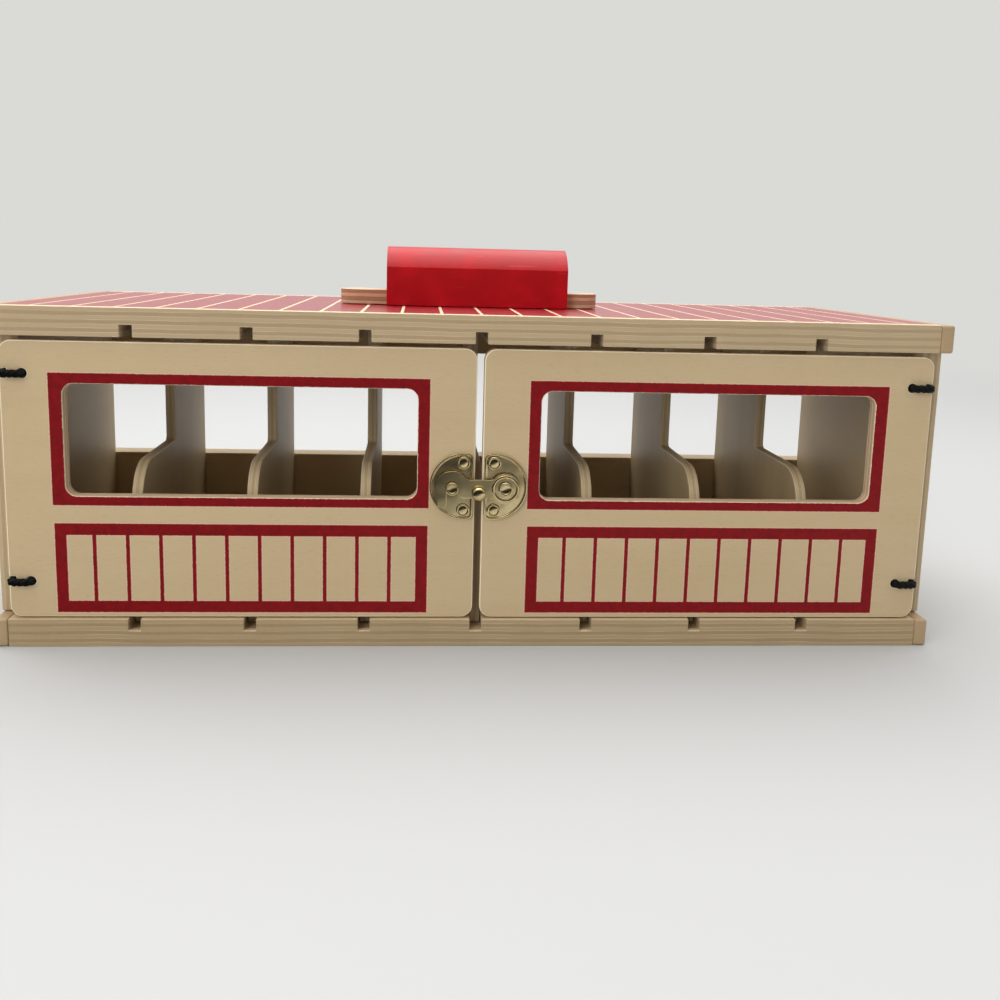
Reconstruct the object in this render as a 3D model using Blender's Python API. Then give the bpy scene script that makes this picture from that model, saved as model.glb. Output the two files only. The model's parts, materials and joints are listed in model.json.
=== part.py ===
"""Toy horse stable: a plywood carrying box with eight stalls, two doors hung on black cord, a brass
hook latch between them and a handle block on the flat roof. Metres, +Z up, doors facing -Y. The
origin is in the middle of the base's underside."""

from math import acos, asin, atan2, cos, hypot, pi, radians, sin, sqrt

import bmesh
import bpy
from mathutils import Matrix, Vector

# Stalls
STALL_COUNT = 8
STALL_PITCH = 0.038
STALL_HEIGHT = 0.094

# Base and roof boards, and the solid wood strips that close their ends
BOARD_DEPTH = 0.127
BOARD_THICKNESS = 0.0095
END_STRIP_WIDTH = 0.0047
GROOVE_DEPTH = 0.004
GROOVE_CLEARANCE = 0.0002

# Side panels, the low back panel and the rail above it
SIDE_THICKNESS = 0.0095
BACK_PANEL_THICKNESS = 0.0095
BACK_PANEL_HEIGHT = 0.0355
BACK_RAIL_HEIGHT = 0.0133
REAR_SETBACK = 0.0065

# Stall dividers: a low front part with a rounded nose and a post that reaches the roof
DIVIDER_THICKNESS = 0.0036
DIVIDER_POST_DEPTH = 0.0537
DIVIDER_SHELF_HEIGHT = 0.0508
DIVIDER_NOSE_RADIUS = 0.014
DIVIDER_CORNER_RADIUS = 0.002

# Doors
DOOR_THICKNESS = 0.0052
DOOR_SETBACK = 0.0014
DOOR_REAR_GAP = 0.0012
DOOR_CENTRE_GAP = 0.0024
DOOR_BASE_GAP = 0.0004
DOOR_ROOF_GAP = 0.0015
DOOR_SIDE_LAP = 0.0042
DOOR_CORNER_RADIUS = 0.004
WINDOW_SIDE_MARGIN = 0.0194
WINDOW_TOP_MARGIN = 0.0138
WINDOW_SILL_HEIGHT = 0.0412
WINDOW_CORNER_RADIUS = 0.0036

# Cord hinges
CORD_RADIUS = 0.00135
CORD_CLEARANCE = 0.0002
CORD_BEND_RADIUS = 0.0016
CORD_PROUD = 0.0006
CORD_KNOT_RADIUS = 0.002
CORD_KNOT_LENGTH = 0.0036
CORD_KNOT_CLEARANCE = 0.0009
CORD_ANCHOR_DEPTH = 0.009
HINGE_OFFSET = 0.0003
HINGE_BELOW_TOP = 0.0107
HINGE_ABOVE_BOTTOM = 0.0123

# Latch plates and their nails
LATCH_HEIGHT = 0.0459
PLATE_RADIUS = 0.0113
PLATE_WIDTH = 0.0145
PLATE_THICKNESS = 0.0006
PLATE_EDGE_INSET = 0.0007
PLATE_CORNER_RADIUS = 0.002
PLATE_RIM_WIDTH = 0.0006
PLATE_RIM_SLOPE = 0.0002
PLATE_RIM_RISE = 0.0003
NAIL_HEAD_RADIUS = 0.00225
NAIL_HEAD_HEIGHT = 0.0005
NAIL_SHANK_RADIUS = 0.0008
NAIL_LENGTH = 0.0038
NAIL_RIM_CLEARANCE = 0.0002
METAL_GAP = 0.0002

# Hook arm, the post that it hooks over, its pivot rivet and its knob
POST_INSET = 0.00775
PIVOT_DROP = 0.0004
POST_RADIUS = 0.0014
POST_HEAD_RADIUS = 0.00225
PIVOT_RADIUS = 0.0013
PIVOT_HEAD_RADIUS = 0.0024
PIVOT_COLLAR_RADIUS = 0.0021
RIVET_HEAD_HEIGHT = 0.0009
RIVET_LENGTH = 0.003
ARM_THICKNESS = 0.0007
ARM_BAR_ABOVE = 0.003
ARM_BAR_BELOW = 0.0034
ARM_LOBE_RADIUS = 0.0052
ARM_NECK_RADIUS = 0.002
ARM_EDGE_CHAMFER = 0.0002
ARM_RIDGE_RADIUS = 0.0041
ARM_RIDGE_WIDTH = 0.0012
ARM_RIDGE_RISE = 0.0004
HOOK_RADIUS = 0.0057
HOOK_RISE = 0.0002
HOOK_TAIL_DROP = 0.0053
HOOK_TAIL_RADIUS = 0.0015
HOOK_MOUTH_WIDTH = 0.0014
HOOK_MOUTH_HEIGHT = 0.001
KNOB_RADIUS = 0.00235
KNOB_HEIGHT = 0.0024
KNOB_SHANK_RADIUS = 0.001
KNOB_DROP = 0.0015

# Handle on the roof, and the screws that hold it from below
STRIP_LENGTH = 0.098
STRIP_DEPTH = 0.016
STRIP_THICKNESS = 0.0055
STRIP_SHIFT = -0.0015
BLOCK_LENGTH = 0.0675
BLOCK_DEPTH = 0.026
BLOCK_SIDE_HEIGHT = 0.014
BLOCK_CROWN_RISE = 0.0076
BLOCK_SHIFT = 0.0009
SCREW_RADIUS = 0.0015
SCREW_HEAD_RADIUS = 0.003
SCREW_LENGTH = 0.022
SCREW_RECESS = 0.0004

# Shared by all pieces
GLUE_GAP = 0.0003
CUT_OVERRUN = 0.002
WOOD_EDGE_ROUND = 0.0005
MERGE_DISTANCE = 0.000001
ROUND_STEPS = 20
CORNER_STEPS = 5
LOBE_STEPS = 22
ROUND_SHADE_ANGLE = radians(35)

# The dimples and domes of the small turned heads, as shares of head radius and head height
HEAD_EDGE_SHARES = ((1.0, 0.0), (1.0, 0.45), (0.93, 0.8), (0.8, 1.0), (0.62, 0.95), (0.45, 0.55), (0.25, 0.35))
DIMPLE_FLOOR_SHARE = 0.3
KNOB_NECK_SHARE = 0.62
KNOB_BELLY_SHARES = ((0.62, 0.22), (0.88, 0.3), (1.0, 0.48), (0.95, 0.7), (0.76, 0.88), (0.42, 0.98))

# Worked out from the sizes above
INNER_HALF = (STALL_COUNT * STALL_PITCH - DIVIDER_THICKNESS) / 2
BOX_HALF = INNER_HALF + SIDE_THICKNESS
FRONT = -BOARD_DEPTH / 2
BACK = BOARD_DEPTH / 2
FLOOR = BOARD_THICKNESS
CEILING = FLOOR + STALL_HEIGHT
ROOF_TOP = CEILING + BOARD_THICKNESS
DOOR_FRONT = FRONT + DOOR_SETBACK
DOOR_BACK = DOOR_FRONT + DOOR_THICKNESS
WALL_FRONT = DOOR_BACK + DOOR_REAR_GAP
BACK_PANEL_REAR = BACK - REAR_SETBACK
BACK_PANEL_FRONT = BACK_PANEL_REAR - BACK_PANEL_THICKNESS
WALL_BACK = BACK_PANEL_FRONT - GLUE_GAP
GROOVE_HALF = DIVIDER_THICKNESS / 2 + GROOVE_CLEARANCE
DOOR_INNER = DOOR_CENTRE_GAP / 2
DOOR_OUTER = INNER_HALF + DOOR_SIDE_LAP
DOOR_BOTTOM = FLOOR + DOOR_BASE_GAP
DOOR_TOP = CEILING - DOOR_ROOF_GAP
HINGE_X = DOOR_OUTER + HINGE_OFFSET
HINGE_Y = (DOOR_BACK + WALL_FRONT) / 2
HINGE_HEIGHTS = {"lower": DOOR_BOTTOM + HINGE_ABOVE_BOTTOM, "upper": DOOR_TOP - HINGE_BELOW_TOP}
CORD_EDGE_X = DOOR_OUTER + CORD_PROUD - CORD_RADIUS
CORD_HOLE_X = INNER_HALF - CORD_KNOT_CLEARANCE - CORD_KNOT_RADIUS
CORD_HOLE_RADIUS = CORD_RADIUS + CORD_CLEARANCE
LATCH_Z = DOOR_BOTTOM + LATCH_HEIGHT
PIVOT_Z = LATCH_Z - PIVOT_DROP
PIVOT_X = DOOR_INNER + POST_INSET
ARM_REACH = PIVOT_X + PIVOT_X
PLATE_FLAT_X = DOOR_INNER + PLATE_EDGE_INSET
PLATE_CENTRE_X = PLATE_FLAT_X + PLATE_WIDTH - PLATE_RADIUS
NAIL_INSET = NAIL_HEAD_RADIUS + PLATE_RIM_WIDTH + PLATE_RIM_SLOPE + NAIL_RIM_CLEARANCE
PLATE_FACE = METAL_GAP + PLATE_THICKNESS
NAIL_SEAT = PLATE_FACE + METAL_GAP
ARM_BACK = NAIL_SEAT + NAIL_HEAD_HEIGHT + METAL_GAP
ARM_FACE = ARM_BACK + ARM_THICKNESS
RIVET_SEAT = ARM_FACE + METAL_GAP
HOOK_SLOT_RADIUS = POST_RADIUS + METAL_GAP + METAL_GAP


def principled(name, colour, roughness, metallic=0.0):
    """A plain finish with one colour."""
    material = bpy.data.materials.new(name)
    material.use_nodes = True
    shader = material.node_tree.nodes["Principled BSDF"]
    shader.inputs["Base Color"].default_value = (*colour, 1.0)
    shader.inputs["Roughness"].default_value = roughness
    shader.inputs["Metallic"].default_value = metallic
    material.diffuse_color = (*colour, 1.0)
    return material


def arc(centre, radius, start, end, steps):
    """Points of an arc from the start angle to the end angle, both ends included."""
    angles = [start + (end - start) * step / steps for step in range(steps + 1)]
    return [(centre[0] + radius * cos(angle), centre[1] + radius * sin(angle)) for angle in angles]


def rounded_rectangle(low, high, radius, steps=CORNER_STEPS):
    """Outline of a rectangle with round corners, anticlockwise from its lower right corner."""
    (left, bottom), (right, top) = low, high
    corners = ((right - radius, bottom + radius), (right - radius, top - radius))
    corners += ((left + radius, top - radius), (left + radius, bottom + radius))
    outline = []
    for turn, centre in enumerate(corners):
        start = (turn - 1) * pi / 2
        outline += arc(centre, radius, start, start + pi / 2, steps)
    return outline


def prism(outline, axis, low, high):
    """A closed outline, drawn in the plane across an axis, extruded along that axis."""
    places = {
        "X": lambda a, b, along: (along, a, b),
        "Y": lambda a, b, along: (a, along, b),
        "Z": lambda a, b, along: (a, b, along),
    }
    place = places[axis]
    shape = bmesh.new()
    cap = shape.faces.new([shape.verts.new(place(a, b, low)) for a, b in outline])
    grown = bmesh.ops.extrude_face_region(shape, geom=[cap])["geom"]
    moved = [item for item in grown if isinstance(item, bmesh.types.BMVert)]
    bmesh.ops.translate(shape, verts=moved, vec=Vector(place(0, 0, high - low)))
    bmesh.ops.recalc_face_normals(shape, faces=shape.faces)
    return shape


def block(low, high):
    """A box between two corners."""
    outline = [(low[0], low[1]), (high[0], low[1]), (high[0], high[1]), (low[0], high[1])]
    return prism(outline, "Z", low[2], high[2])


def turned(profile, steps=ROUND_STEPS):
    """A profile of (radius, height) points turned about +Z, from its lowest point on the axis up."""
    shape = bmesh.new()
    verts = [shape.verts.new((radius, 0, height)) for radius, height in profile]
    edges = [shape.edges.new(pair) for pair in zip(verts, verts[1:])]
    bmesh.ops.spin(
        shape, geom=verts + edges, cent=(0, 0, 0), axis=(0, 0, 1), angle=2 * pi, steps=steps, dvec=(0, 0, 0)
    )
    bmesh.ops.remove_doubles(shape, verts=shape.verts, dist=MERGE_DISTANCE)
    bmesh.ops.recalc_face_normals(shape, faces=shape.faces)
    return shape


def facing_out(shape, x, z):
    """Turns a turned shape to face the viewer, with its zero height on the doors' front face."""
    shape.transform(Matrix.Translation((x, DOOR_FRONT, z)) @ Matrix.Rotation(pi / 2, 4, "X"))
    return shape


def piece(name, shape, material, parent=None):
    """Makes an object of a shape drawn in world places. A moving piece hangs on its hinge's empty."""
    origin = parent.matrix_world.translation if parent else Vector()
    shape.transform(Matrix.Translation(-origin))
    mesh = bpy.data.meshes.new(name)
    shape.to_mesh(mesh)
    shape.free()
    mesh.shade_smooth()
    mesh.set_sharp_from_angle(angle=ROUND_SHADE_ANGLE)
    mesh.materials.append(material)
    made = bpy.data.objects.new(name, mesh)
    made.parent = parent
    bpy.context.scene.collection.objects.link(made)
    return made


def ease_edges(made):
    """Rounds the sharp edges of a wooden piece a little."""
    bevel = made.modifiers.new("Eased edges", "BEVEL")
    bevel.width = WOOD_EDGE_ROUND
    bevel.segments = 2
    bevel.limit_method = "ANGLE"
    bevel.angle_limit = ROUND_SHADE_ANGLE


def combine(made, shape, operation, label):
    """Cuts a shape from a piece, or joins it to the piece, with a hidden tool object."""
    tool = piece(f"{made.name}_{label}", shape, made.data.materials[0], made.parent)
    tool.hide_render = True
    tool.display_type = "WIRE"
    boolean = made.modifiers.new(label, "BOOLEAN")
    boolean.operation = operation
    boolean.object = tool


def cut(made, shape, label):
    """Cuts a shape from a piece."""
    combine(made, shape, "DIFFERENCE", label)


def drill(made, x, z, radius, front, back, label):
    """Cuts a round hole along the depth."""
    cut(made, prism(arc((x, z), radius, 0, 2 * pi * (1 - 1 / ROUND_STEPS), ROUND_STEPS - 1), "Y", front, back), label)


def pivot_empty(name, x, y, z):
    """An empty on a joint's axis."""
    empty = bpy.data.objects.new(name, None)
    empty.location = (x, y, z)
    empty.empty_display_size = CUT_OVERRUN
    bpy.context.scene.collection.objects.link(empty)
    bpy.context.view_layer.update()
    return empty


def divider_places():
    """The middle of each divider, from left to right."""
    return [(number - STALL_COUNT / 2) * STALL_PITCH for number in range(1, STALL_COUNT)]


def build_boards(plywood, lipping, painted):
    """The grooved base and roof boards, each closed at both ends by a strip of solid wood."""
    core_half = BOX_HALF - END_STRIP_WIDTH - GLUE_GAP
    levels = {"base": (0, FLOOR, FLOOR - GROOVE_DEPTH, FLOOR + CUT_OVERRUN)}
    levels["roof"] = (CEILING, ROOF_TOP, CEILING - CUT_OVERRUN, CEILING + GROOVE_DEPTH)
    for name, (bottom, top, groove_low, groove_high) in levels.items():
        board = piece(f"{name}_board", block((-core_half, FRONT, bottom), (core_half, BACK, top)), plywood)
        ease_edges(board)
        for number, middle in enumerate(divider_places(), start=1):
            low = (middle - GROOVE_HALF, FRONT - CUT_OVERRUN, groove_low)
            high = (middle + GROOVE_HALF, BACK + CUT_OVERRUN, groove_high)
            cut(board, block(low, high), f"groove_{number}")
        for side, sign in (("left", -1), ("right", 1)):
            ends = sorted((sign * (BOX_HALF - END_STRIP_WIDTH), sign * BOX_HALF))
            strip = piece(f"{name}_end_strip_{side}", block((ends[0], FRONT, bottom), (ends[1], BACK, top)), lipping)
            ease_edges(strip)
        if name == "roof":
            paint_top(board, painted)
            add_screw_holes(board)


def paint_top(board, painted):
    """Gives the upper face of the roof its paint."""
    board.data.materials.append(painted)
    top = max(board.data.polygons, key=lambda face: face.center.z)
    top.material_index = 1


def build_walls(plywood):
    """The two side panels, the low panel across the back, and the rail under the roof above it."""
    for side, sign in (("left", -1), ("right", 1)):
        ends = sorted((sign * INNER_HALF, sign * BOX_HALF))
        low = (ends[0], WALL_FRONT, FLOOR + GLUE_GAP)
        panel = piece(f"{side}_side_panel", block(low, (ends[1], WALL_BACK, CEILING - GLUE_GAP)), plywood)
        ease_edges(panel)
        for level, height in HINGE_HEIGHTS.items():
            depth = WALL_FRONT + CORD_ANCHOR_DEPTH + CORD_CLEARANCE
            drill(panel, sign * CORD_EDGE_X, height, CORD_HOLE_RADIUS, WALL_FRONT - CUT_OVERRUN, depth, f"hole_{level}")
    low = (-BOX_HALF, BACK_PANEL_FRONT, FLOOR + GLUE_GAP)
    high = (BOX_HALF, BACK_PANEL_REAR, FLOOR + BACK_PANEL_HEIGHT)
    ease_edges(piece("back_panel", block(low, high), plywood))
    low = (-BOX_HALF, BACK_PANEL_FRONT, CEILING - BACK_RAIL_HEIGHT)
    high = (BOX_HALF, BACK_PANEL_REAR, CEILING - GLUE_GAP)
    ease_edges(piece("back_rail", block(low, high), plywood))


def divider_outline():
    """Side outline of a divider as (depth, height), from its foot at the front round to the back."""
    post_front = WALL_BACK - DIVIDER_POST_DEPTH
    shelf = FLOOR + DIVIDER_SHELF_HEIGHT
    foot = FLOOR - GROOVE_DEPTH + GLUE_GAP
    head = CEILING + GROOVE_DEPTH - GLUE_GAP
    nose = (WALL_FRONT + DIVIDER_NOSE_RADIUS, shelf - DIVIDER_NOSE_RADIUS)
    corner = (post_front - DIVIDER_CORNER_RADIUS, shelf + DIVIDER_CORNER_RADIUS)
    outline = [(WALL_FRONT, foot)]
    outline += arc(nose, DIVIDER_NOSE_RADIUS, pi, pi / 2, 2 * CORNER_STEPS)
    outline += arc(corner, DIVIDER_CORNER_RADIUS, -pi / 2, 0, CORNER_STEPS)
    return outline + [(post_front, head), (WALL_BACK, head), (WALL_BACK, foot)]


def build_dividers(plywood):
    """The stall dividers, which stand in the grooves of the base and the roof."""
    for number, middle in enumerate(divider_places(), start=1):
        sides = (middle - DIVIDER_THICKNESS / 2, middle + DIVIDER_THICKNESS / 2)
        piece(f"stall_divider_{number}", prism(divider_outline(), "X", *sides), plywood)


def screw_profile(clearance):
    """Half section of a countersunk wood screw, head down, with its head's face at zero height."""
    shank = SCREW_RADIUS + clearance
    head = SCREW_HEAD_RADIUS + clearance
    neck = head - shank
    tip = SCREW_LENGTH + clearance
    return [(0, -clearance), (head, -clearance), (shank, neck), (shank, tip - SCREW_RADIUS), (0, tip)]


def screw_shapes(clearance):
    """The two handle screws, or the space that they need, in the middle of the two middle stalls."""
    for side, sign in (("left", -1), ("right", 1)):
        shape = turned(screw_profile(clearance))
        shape.transform(Matrix.Translation((sign * STALL_PITCH / 2, 0, CEILING + SCREW_RECESS)))
        yield side, shape


def add_screw_holes(made):
    """Drills a piece of the handle, or the roof, for the handle screws."""
    for side, shape in screw_shapes(GROOVE_CLEARANCE):
        cut(made, shape, f"screw_hole_{side}")


def build_handle(plywood, painted, steel):
    """The plywood strip on the roof, the painted block astride it, and their screws."""
    bottom = ROOF_TOP + GLUE_GAP
    top = bottom + STRIP_THICKNESS
    low = (STRIP_SHIFT - STRIP_LENGTH / 2, -STRIP_DEPTH / 2)
    high = (STRIP_SHIFT + STRIP_LENGTH / 2, STRIP_DEPTH / 2)
    strip = piece("handle_strip", prism(rounded_rectangle(low, high, STRIP_DEPTH / 2), "Z", bottom, top), plywood)
    add_screw_holes(strip)

    half = BLOCK_DEPTH / 2
    slot = STRIP_DEPTH / 2 + GLUE_GAP
    crown = (half * half + BLOCK_CROWN_RISE * BLOCK_CROWN_RISE) / (2 * BLOCK_CROWN_RISE)
    centre = (0, bottom + BLOCK_SIDE_HEIGHT + BLOCK_CROWN_RISE - crown)
    reach = asin(half / crown)
    outline = [(slot, bottom), (half, bottom)]
    outline += arc(centre, crown, pi / 2 - reach, pi / 2 + reach, 2 * ROUND_STEPS)
    outline += [(-half, bottom), (-slot, bottom), (-slot, top + GLUE_GAP), (slot, top + GLUE_GAP)]
    ends = (BLOCK_SHIFT - BLOCK_LENGTH / 2, BLOCK_SHIFT + BLOCK_LENGTH / 2)
    grip = piece("handle_block", prism(outline, "X", *ends), painted)
    add_screw_holes(grip)

    for side, shape in screw_shapes(0):
        piece(f"handle_screw_{side}", shape, steel)


def build_door(side, sign, hinge, plywood):
    """One door, drilled and notched for its cords, with its window cut out."""
    ends = sorted((sign * DOOR_INNER, sign * DOOR_OUTER))
    outline = rounded_rectangle((ends[0], DOOR_BOTTOM), (ends[1], DOOR_TOP), DOOR_CORNER_RADIUS)
    door = piece(f"{side}_door_panel", prism(outline, "Y", DOOR_FRONT, DOOR_BACK), plywood, hinge)
    ease_edges(door)
    low = (ends[0] + WINDOW_SIDE_MARGIN, DOOR_BOTTOM + WINDOW_SILL_HEIGHT)
    high = (ends[1] - WINDOW_SIDE_MARGIN, DOOR_TOP - WINDOW_TOP_MARGIN)
    front, back = DOOR_FRONT - CUT_OVERRUN, DOOR_BACK + CUT_OVERRUN
    cut(door, prism(rounded_rectangle(low, high, WINDOW_CORNER_RADIUS), "Y", front, back), "window")
    floor_x = CORD_EDGE_X - CORD_HOLE_RADIUS
    for level, height in HINGE_HEIGHTS.items():
        drill(door, sign * CORD_HOLE_X, height, CORD_HOLE_RADIUS, front, back, f"cord_hole_{level}")
        notch = sorted((sign * floor_x, sign * (DOOR_OUTER + CUT_OVERRUN)))
        low = (notch[0], front, height - CORD_HOLE_RADIUS)
        cut(door, block(low, (notch[1], back, height + CORD_HOLE_RADIUS)), f"notch_{level}")
    for label, x, z in nail_places(sign):
        depth = DOOR_FRONT + NAIL_LENGTH + METAL_GAP
        drill(door, x, z, NAIL_SHANK_RADIUS + METAL_GAP, front, depth, f"nail_hole_{label}")
    foot = (POST_RADIUS if sign < 0 else PIVOT_RADIUS) + METAL_GAP
    drill(door, sign * PIVOT_X, PIVOT_Z, foot, front, DOOR_FRONT + RIVET_LENGTH + METAL_GAP, "rivet_hole")


def build_hinge_cords(side, sign, hinge, cord):
    """Each hinge's cord: the run that the door carries, from its knot to the notch, and its anchor."""
    front_y = DOOR_FRONT - CORD_CLEARANCE - CORD_RADIUS
    bend_y = front_y + CORD_BEND_RADIUS
    knot_front = DOOR_BACK + CORD_CLEARANCE
    for level, height in HINGE_HEIGHTS.items():
        knot_mid = knot_front + CORD_KNOT_LENGTH / 2
        knot_back = knot_front + CORD_KNOT_LENGTH
        swell = CORD_KNOT_RADIUS / CORD_RADIUS
        route = [(CORD_HOLE_X, knot_back, 1.0), (CORD_HOLE_X, knot_mid + CORD_CLEARANCE, swell)]
        route += [(CORD_HOLE_X, knot_mid - CORD_CLEARANCE, swell), (CORD_HOLE_X, knot_front, 1.0)]
        first = (CORD_HOLE_X + CORD_BEND_RADIUS, bend_y)
        route += [(x, y, 1.0) for x, y in arc(first, CORD_BEND_RADIUS, pi, 3 * pi / 2, CORNER_STEPS)]
        second = (CORD_EDGE_X - CORD_BEND_RADIUS, bend_y)
        route += [(x, y, 1.0) for x, y in arc(second, CORD_BEND_RADIUS, -pi / 2, 0, CORNER_STEPS)]
        route += [(CORD_EDGE_X, DOOR_BACK, 1.0)]
        tube(f"{side}_hinge_cord_{level}", route, sign, height, cord, hinge)
        anchor = [(CORD_EDGE_X, DOOR_BACK + GLUE_GAP, 1.0), (CORD_EDGE_X, WALL_FRONT + CORD_ANCHOR_DEPTH, 1.0)]
        tube(f"{side}_cord_anchor_{level}", anchor, sign, height, cord, None)


def tube(name, route, sign, height, cord, hinge):
    """A cord along a route of (place across, place in depth, share of the cord's radius)."""
    origin = hinge.matrix_world.translation if hinge else Vector()
    curve = bpy.data.curves.new(name, "CURVE")
    curve.dimensions = "3D"
    curve.bevel_depth = CORD_RADIUS
    curve.bevel_resolution = 2
    curve.use_fill_caps = True
    spline = curve.splines.new("POLY")
    spline.points.add(len(route) - 1)
    for point, (x, y, share) in zip(spline.points, route):
        point.co = (*(Vector((sign * x, y, height)) - origin), 1.0)
        point.radius = share
    curve.materials.append(cord)
    made = bpy.data.objects.new(name, curve)
    made.parent = hinge
    bpy.context.scene.collection.objects.link(made)


def plate_outline(sign):
    """Outline of a latch plate: a round side, and a flat side along the gap between the doors."""
    from_flat = PLATE_CENTRE_X - PLATE_FLAT_X - PLATE_CORNER_RADIUS
    corner_height = sqrt((PLATE_RADIUS - PLATE_CORNER_RADIUS) ** 2 - from_flat**2)
    turn = atan2(corner_height, -from_flat)
    corner_x = PLATE_FLAT_X + PLATE_CORNER_RADIUS
    outline = arc((PLATE_CENTRE_X, 0), PLATE_RADIUS, -turn, turn, LOBE_STEPS)
    outline += arc((corner_x, corner_height), PLATE_CORNER_RADIUS, turn, pi, CORNER_STEPS)[1:]
    outline += arc((corner_x, -corner_height), PLATE_CORNER_RADIUS, pi, 2 * pi - turn, CORNER_STEPS)[:-1]
    return [(sign * x, LATCH_Z + z) for x, z in outline]


def nail_places(sign):
    """Where the two nails of a latch plate are driven: into its corners, clear of its rim."""
    x = PLATE_FLAT_X + NAIL_INSET
    height = sqrt((PLATE_RADIUS - NAIL_INSET) ** 2 - (PLATE_CENTRE_X - x) ** 2)
    return [("upper", sign * x, LATCH_Z + height), ("lower", sign * x, LATCH_Z - height)]


def build_plate(name, sign, hinge, brass):
    """A pressed plate with a raised rim, its two dimpled nails, and the holes for all that passes."""
    back, face = DOOR_FRONT - METAL_GAP, DOOR_FRONT - PLATE_FACE
    shape = prism(plate_outline(sign), "Y", back, face - PLATE_RIM_RISE)
    front_face = [min(shape.faces, key=lambda item: item.calc_center_median().y)]
    bmesh.ops.inset_region(shape, faces=front_face, thickness=PLATE_RIM_WIDTH)
    bmesh.ops.inset_region(shape, faces=front_face, thickness=PLATE_RIM_SLOPE, depth=-PLATE_RIM_RISE)
    plate = piece(f"{name}_plate", shape, brass, hinge)
    foot = (POST_RADIUS if sign < 0 else PIVOT_RADIUS) + METAL_GAP
    front, rear = face - CUT_OVERRUN, back + CUT_OVERRUN
    drill(plate, sign * PIVOT_X, PIVOT_Z, foot, front, rear, "rivet_hole")
    for label, x, z in nail_places(sign):
        drill(plate, x, z, NAIL_SHANK_RADIUS + METAL_GAP, front, rear, f"nail_hole_{label}")
        profile = [(0, -NAIL_LENGTH), (NAIL_SHANK_RADIUS, NAIL_SHANK_RADIUS - NAIL_LENGTH)]
        profile += [(NAIL_SHANK_RADIUS, NAIL_SEAT)] + dimpled_head(NAIL_SEAT, NAIL_HEAD_RADIUS, NAIL_HEAD_HEIGHT)
        piece(f"{name}_nail_{label}", facing_out(turned(profile), x, z), brass, hinge)


def dimpled_head(seat, radius, height):
    """Half section of a flat head with a hollow in its middle, from its seat to its middle."""
    section = [(radius * across, seat + height * up) for across, up in HEAD_EDGE_SHARES]
    return section + [(0, seat + height * DIMPLE_FLOOR_SHARE)]


def build_post(hinge, brass):
    """The headed post on the left door that the hook drops over."""
    profile = [(0, -RIVET_LENGTH), (POST_RADIUS, -RIVET_LENGTH), (POST_RADIUS, RIVET_SEAT)]
    profile += dimpled_head(RIVET_SEAT, POST_HEAD_RADIUS, RIVET_HEAD_HEIGHT)
    piece("keeper_post", facing_out(turned(profile), -PIVOT_X, PIVOT_Z), brass, hinge)


def build_pivot(hinge, brass):
    """The rivet that the arm turns on, with a collar that holds the arm clear of the nails."""
    collar = (PLATE_FACE + METAL_GAP, ARM_BACK - METAL_GAP)
    profile = [(0, -RIVET_LENGTH), (PIVOT_RADIUS, -RIVET_LENGTH), (PIVOT_RADIUS, collar[0])]
    profile += [(PIVOT_COLLAR_RADIUS, collar[0]), (PIVOT_COLLAR_RADIUS, collar[1]), (PIVOT_RADIUS, collar[1])]
    profile += [(PIVOT_RADIUS, RIVET_SEAT)] + dimpled_head(RIVET_SEAT, PIVOT_HEAD_RADIUS, RIVET_HEAD_HEIGHT)
    piece("pivot_rivet", facing_out(turned(profile), PIVOT_X, PIVOT_Z), brass, hinge)


def neck(lobe, radius, level, toward):
    """Where a round lobe runs into the straight bar: the fillet's centre and its angle from the lobe."""
    upright = 1 if level > 0 else -1
    height = level + upright * ARM_NECK_RADIUS
    across = sqrt((radius + ARM_NECK_RADIUS) ** 2 - (height - lobe[1]) ** 2)
    centre = (lobe[0] + toward * across, height)
    return centre, atan2(centre[1] - lobe[1], centre[0] - lobe[0])


def arm_outline():
    """Outline of the hook arm about its pivot: round lobe, bar, hook lobe, tail, slot and mouth."""
    pivot, hook = (0, 0), (-ARM_REACH, HOOK_RISE)
    over, over_angle = neck(pivot, ARM_LOBE_RADIUS, ARM_BAR_ABOVE, -1)
    under, under_angle = neck(pivot, ARM_LOBE_RADIUS, -ARM_BAR_BELOW, -1)
    hooked, hook_angle = neck(hook, HOOK_RADIUS, ARM_BAR_ABOVE, 1)
    tail = (-ARM_REACH - HOOK_SLOT_RADIUS - HOOK_TAIL_RADIUS, -HOOK_TAIL_DROP)
    to_tail = (tail[0] - hook[0], tail[1] - hook[1])
    spread = acos((HOOK_RADIUS - HOOK_TAIL_RADIUS) / hypot(*to_tail))
    flank = atan2(to_tail[1], to_tail[0]) + 2 * pi - spread
    outline = arc(pivot, ARM_LOBE_RADIUS, under_angle, over_angle, LOBE_STEPS)
    outline += arc(over, ARM_NECK_RADIUS, over_angle - pi, -pi / 2, CORNER_STEPS)[1:]
    outline += arc(hooked, ARM_NECK_RADIUS, -pi / 2, hook_angle - pi, CORNER_STEPS)
    outline += arc(hook, HOOK_RADIUS, hook_angle, flank, LOBE_STEPS)[1:]
    outline += arc(tail, HOOK_TAIL_RADIUS, flank, 2 * pi, 2 * CORNER_STEPS)
    outline += arc((-ARM_REACH, 0), HOOK_SLOT_RADIUS, pi, 0, 2 * CORNER_STEPS)
    mouth = HOOK_SLOT_RADIUS - ARM_REACH
    outline += [(mouth + HOOK_MOUTH_HEIGHT / 2, HOOK_MOUTH_HEIGHT - ARM_BAR_BELOW)]
    outline += [(mouth + HOOK_MOUTH_WIDTH, -ARM_BAR_BELOW)]
    outline += arc(under, ARM_NECK_RADIUS, pi / 2, under_angle + pi, CORNER_STEPS)[:-1]
    return [(PIVOT_X + x, PIVOT_Z + z) for x, z in outline]


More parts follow.
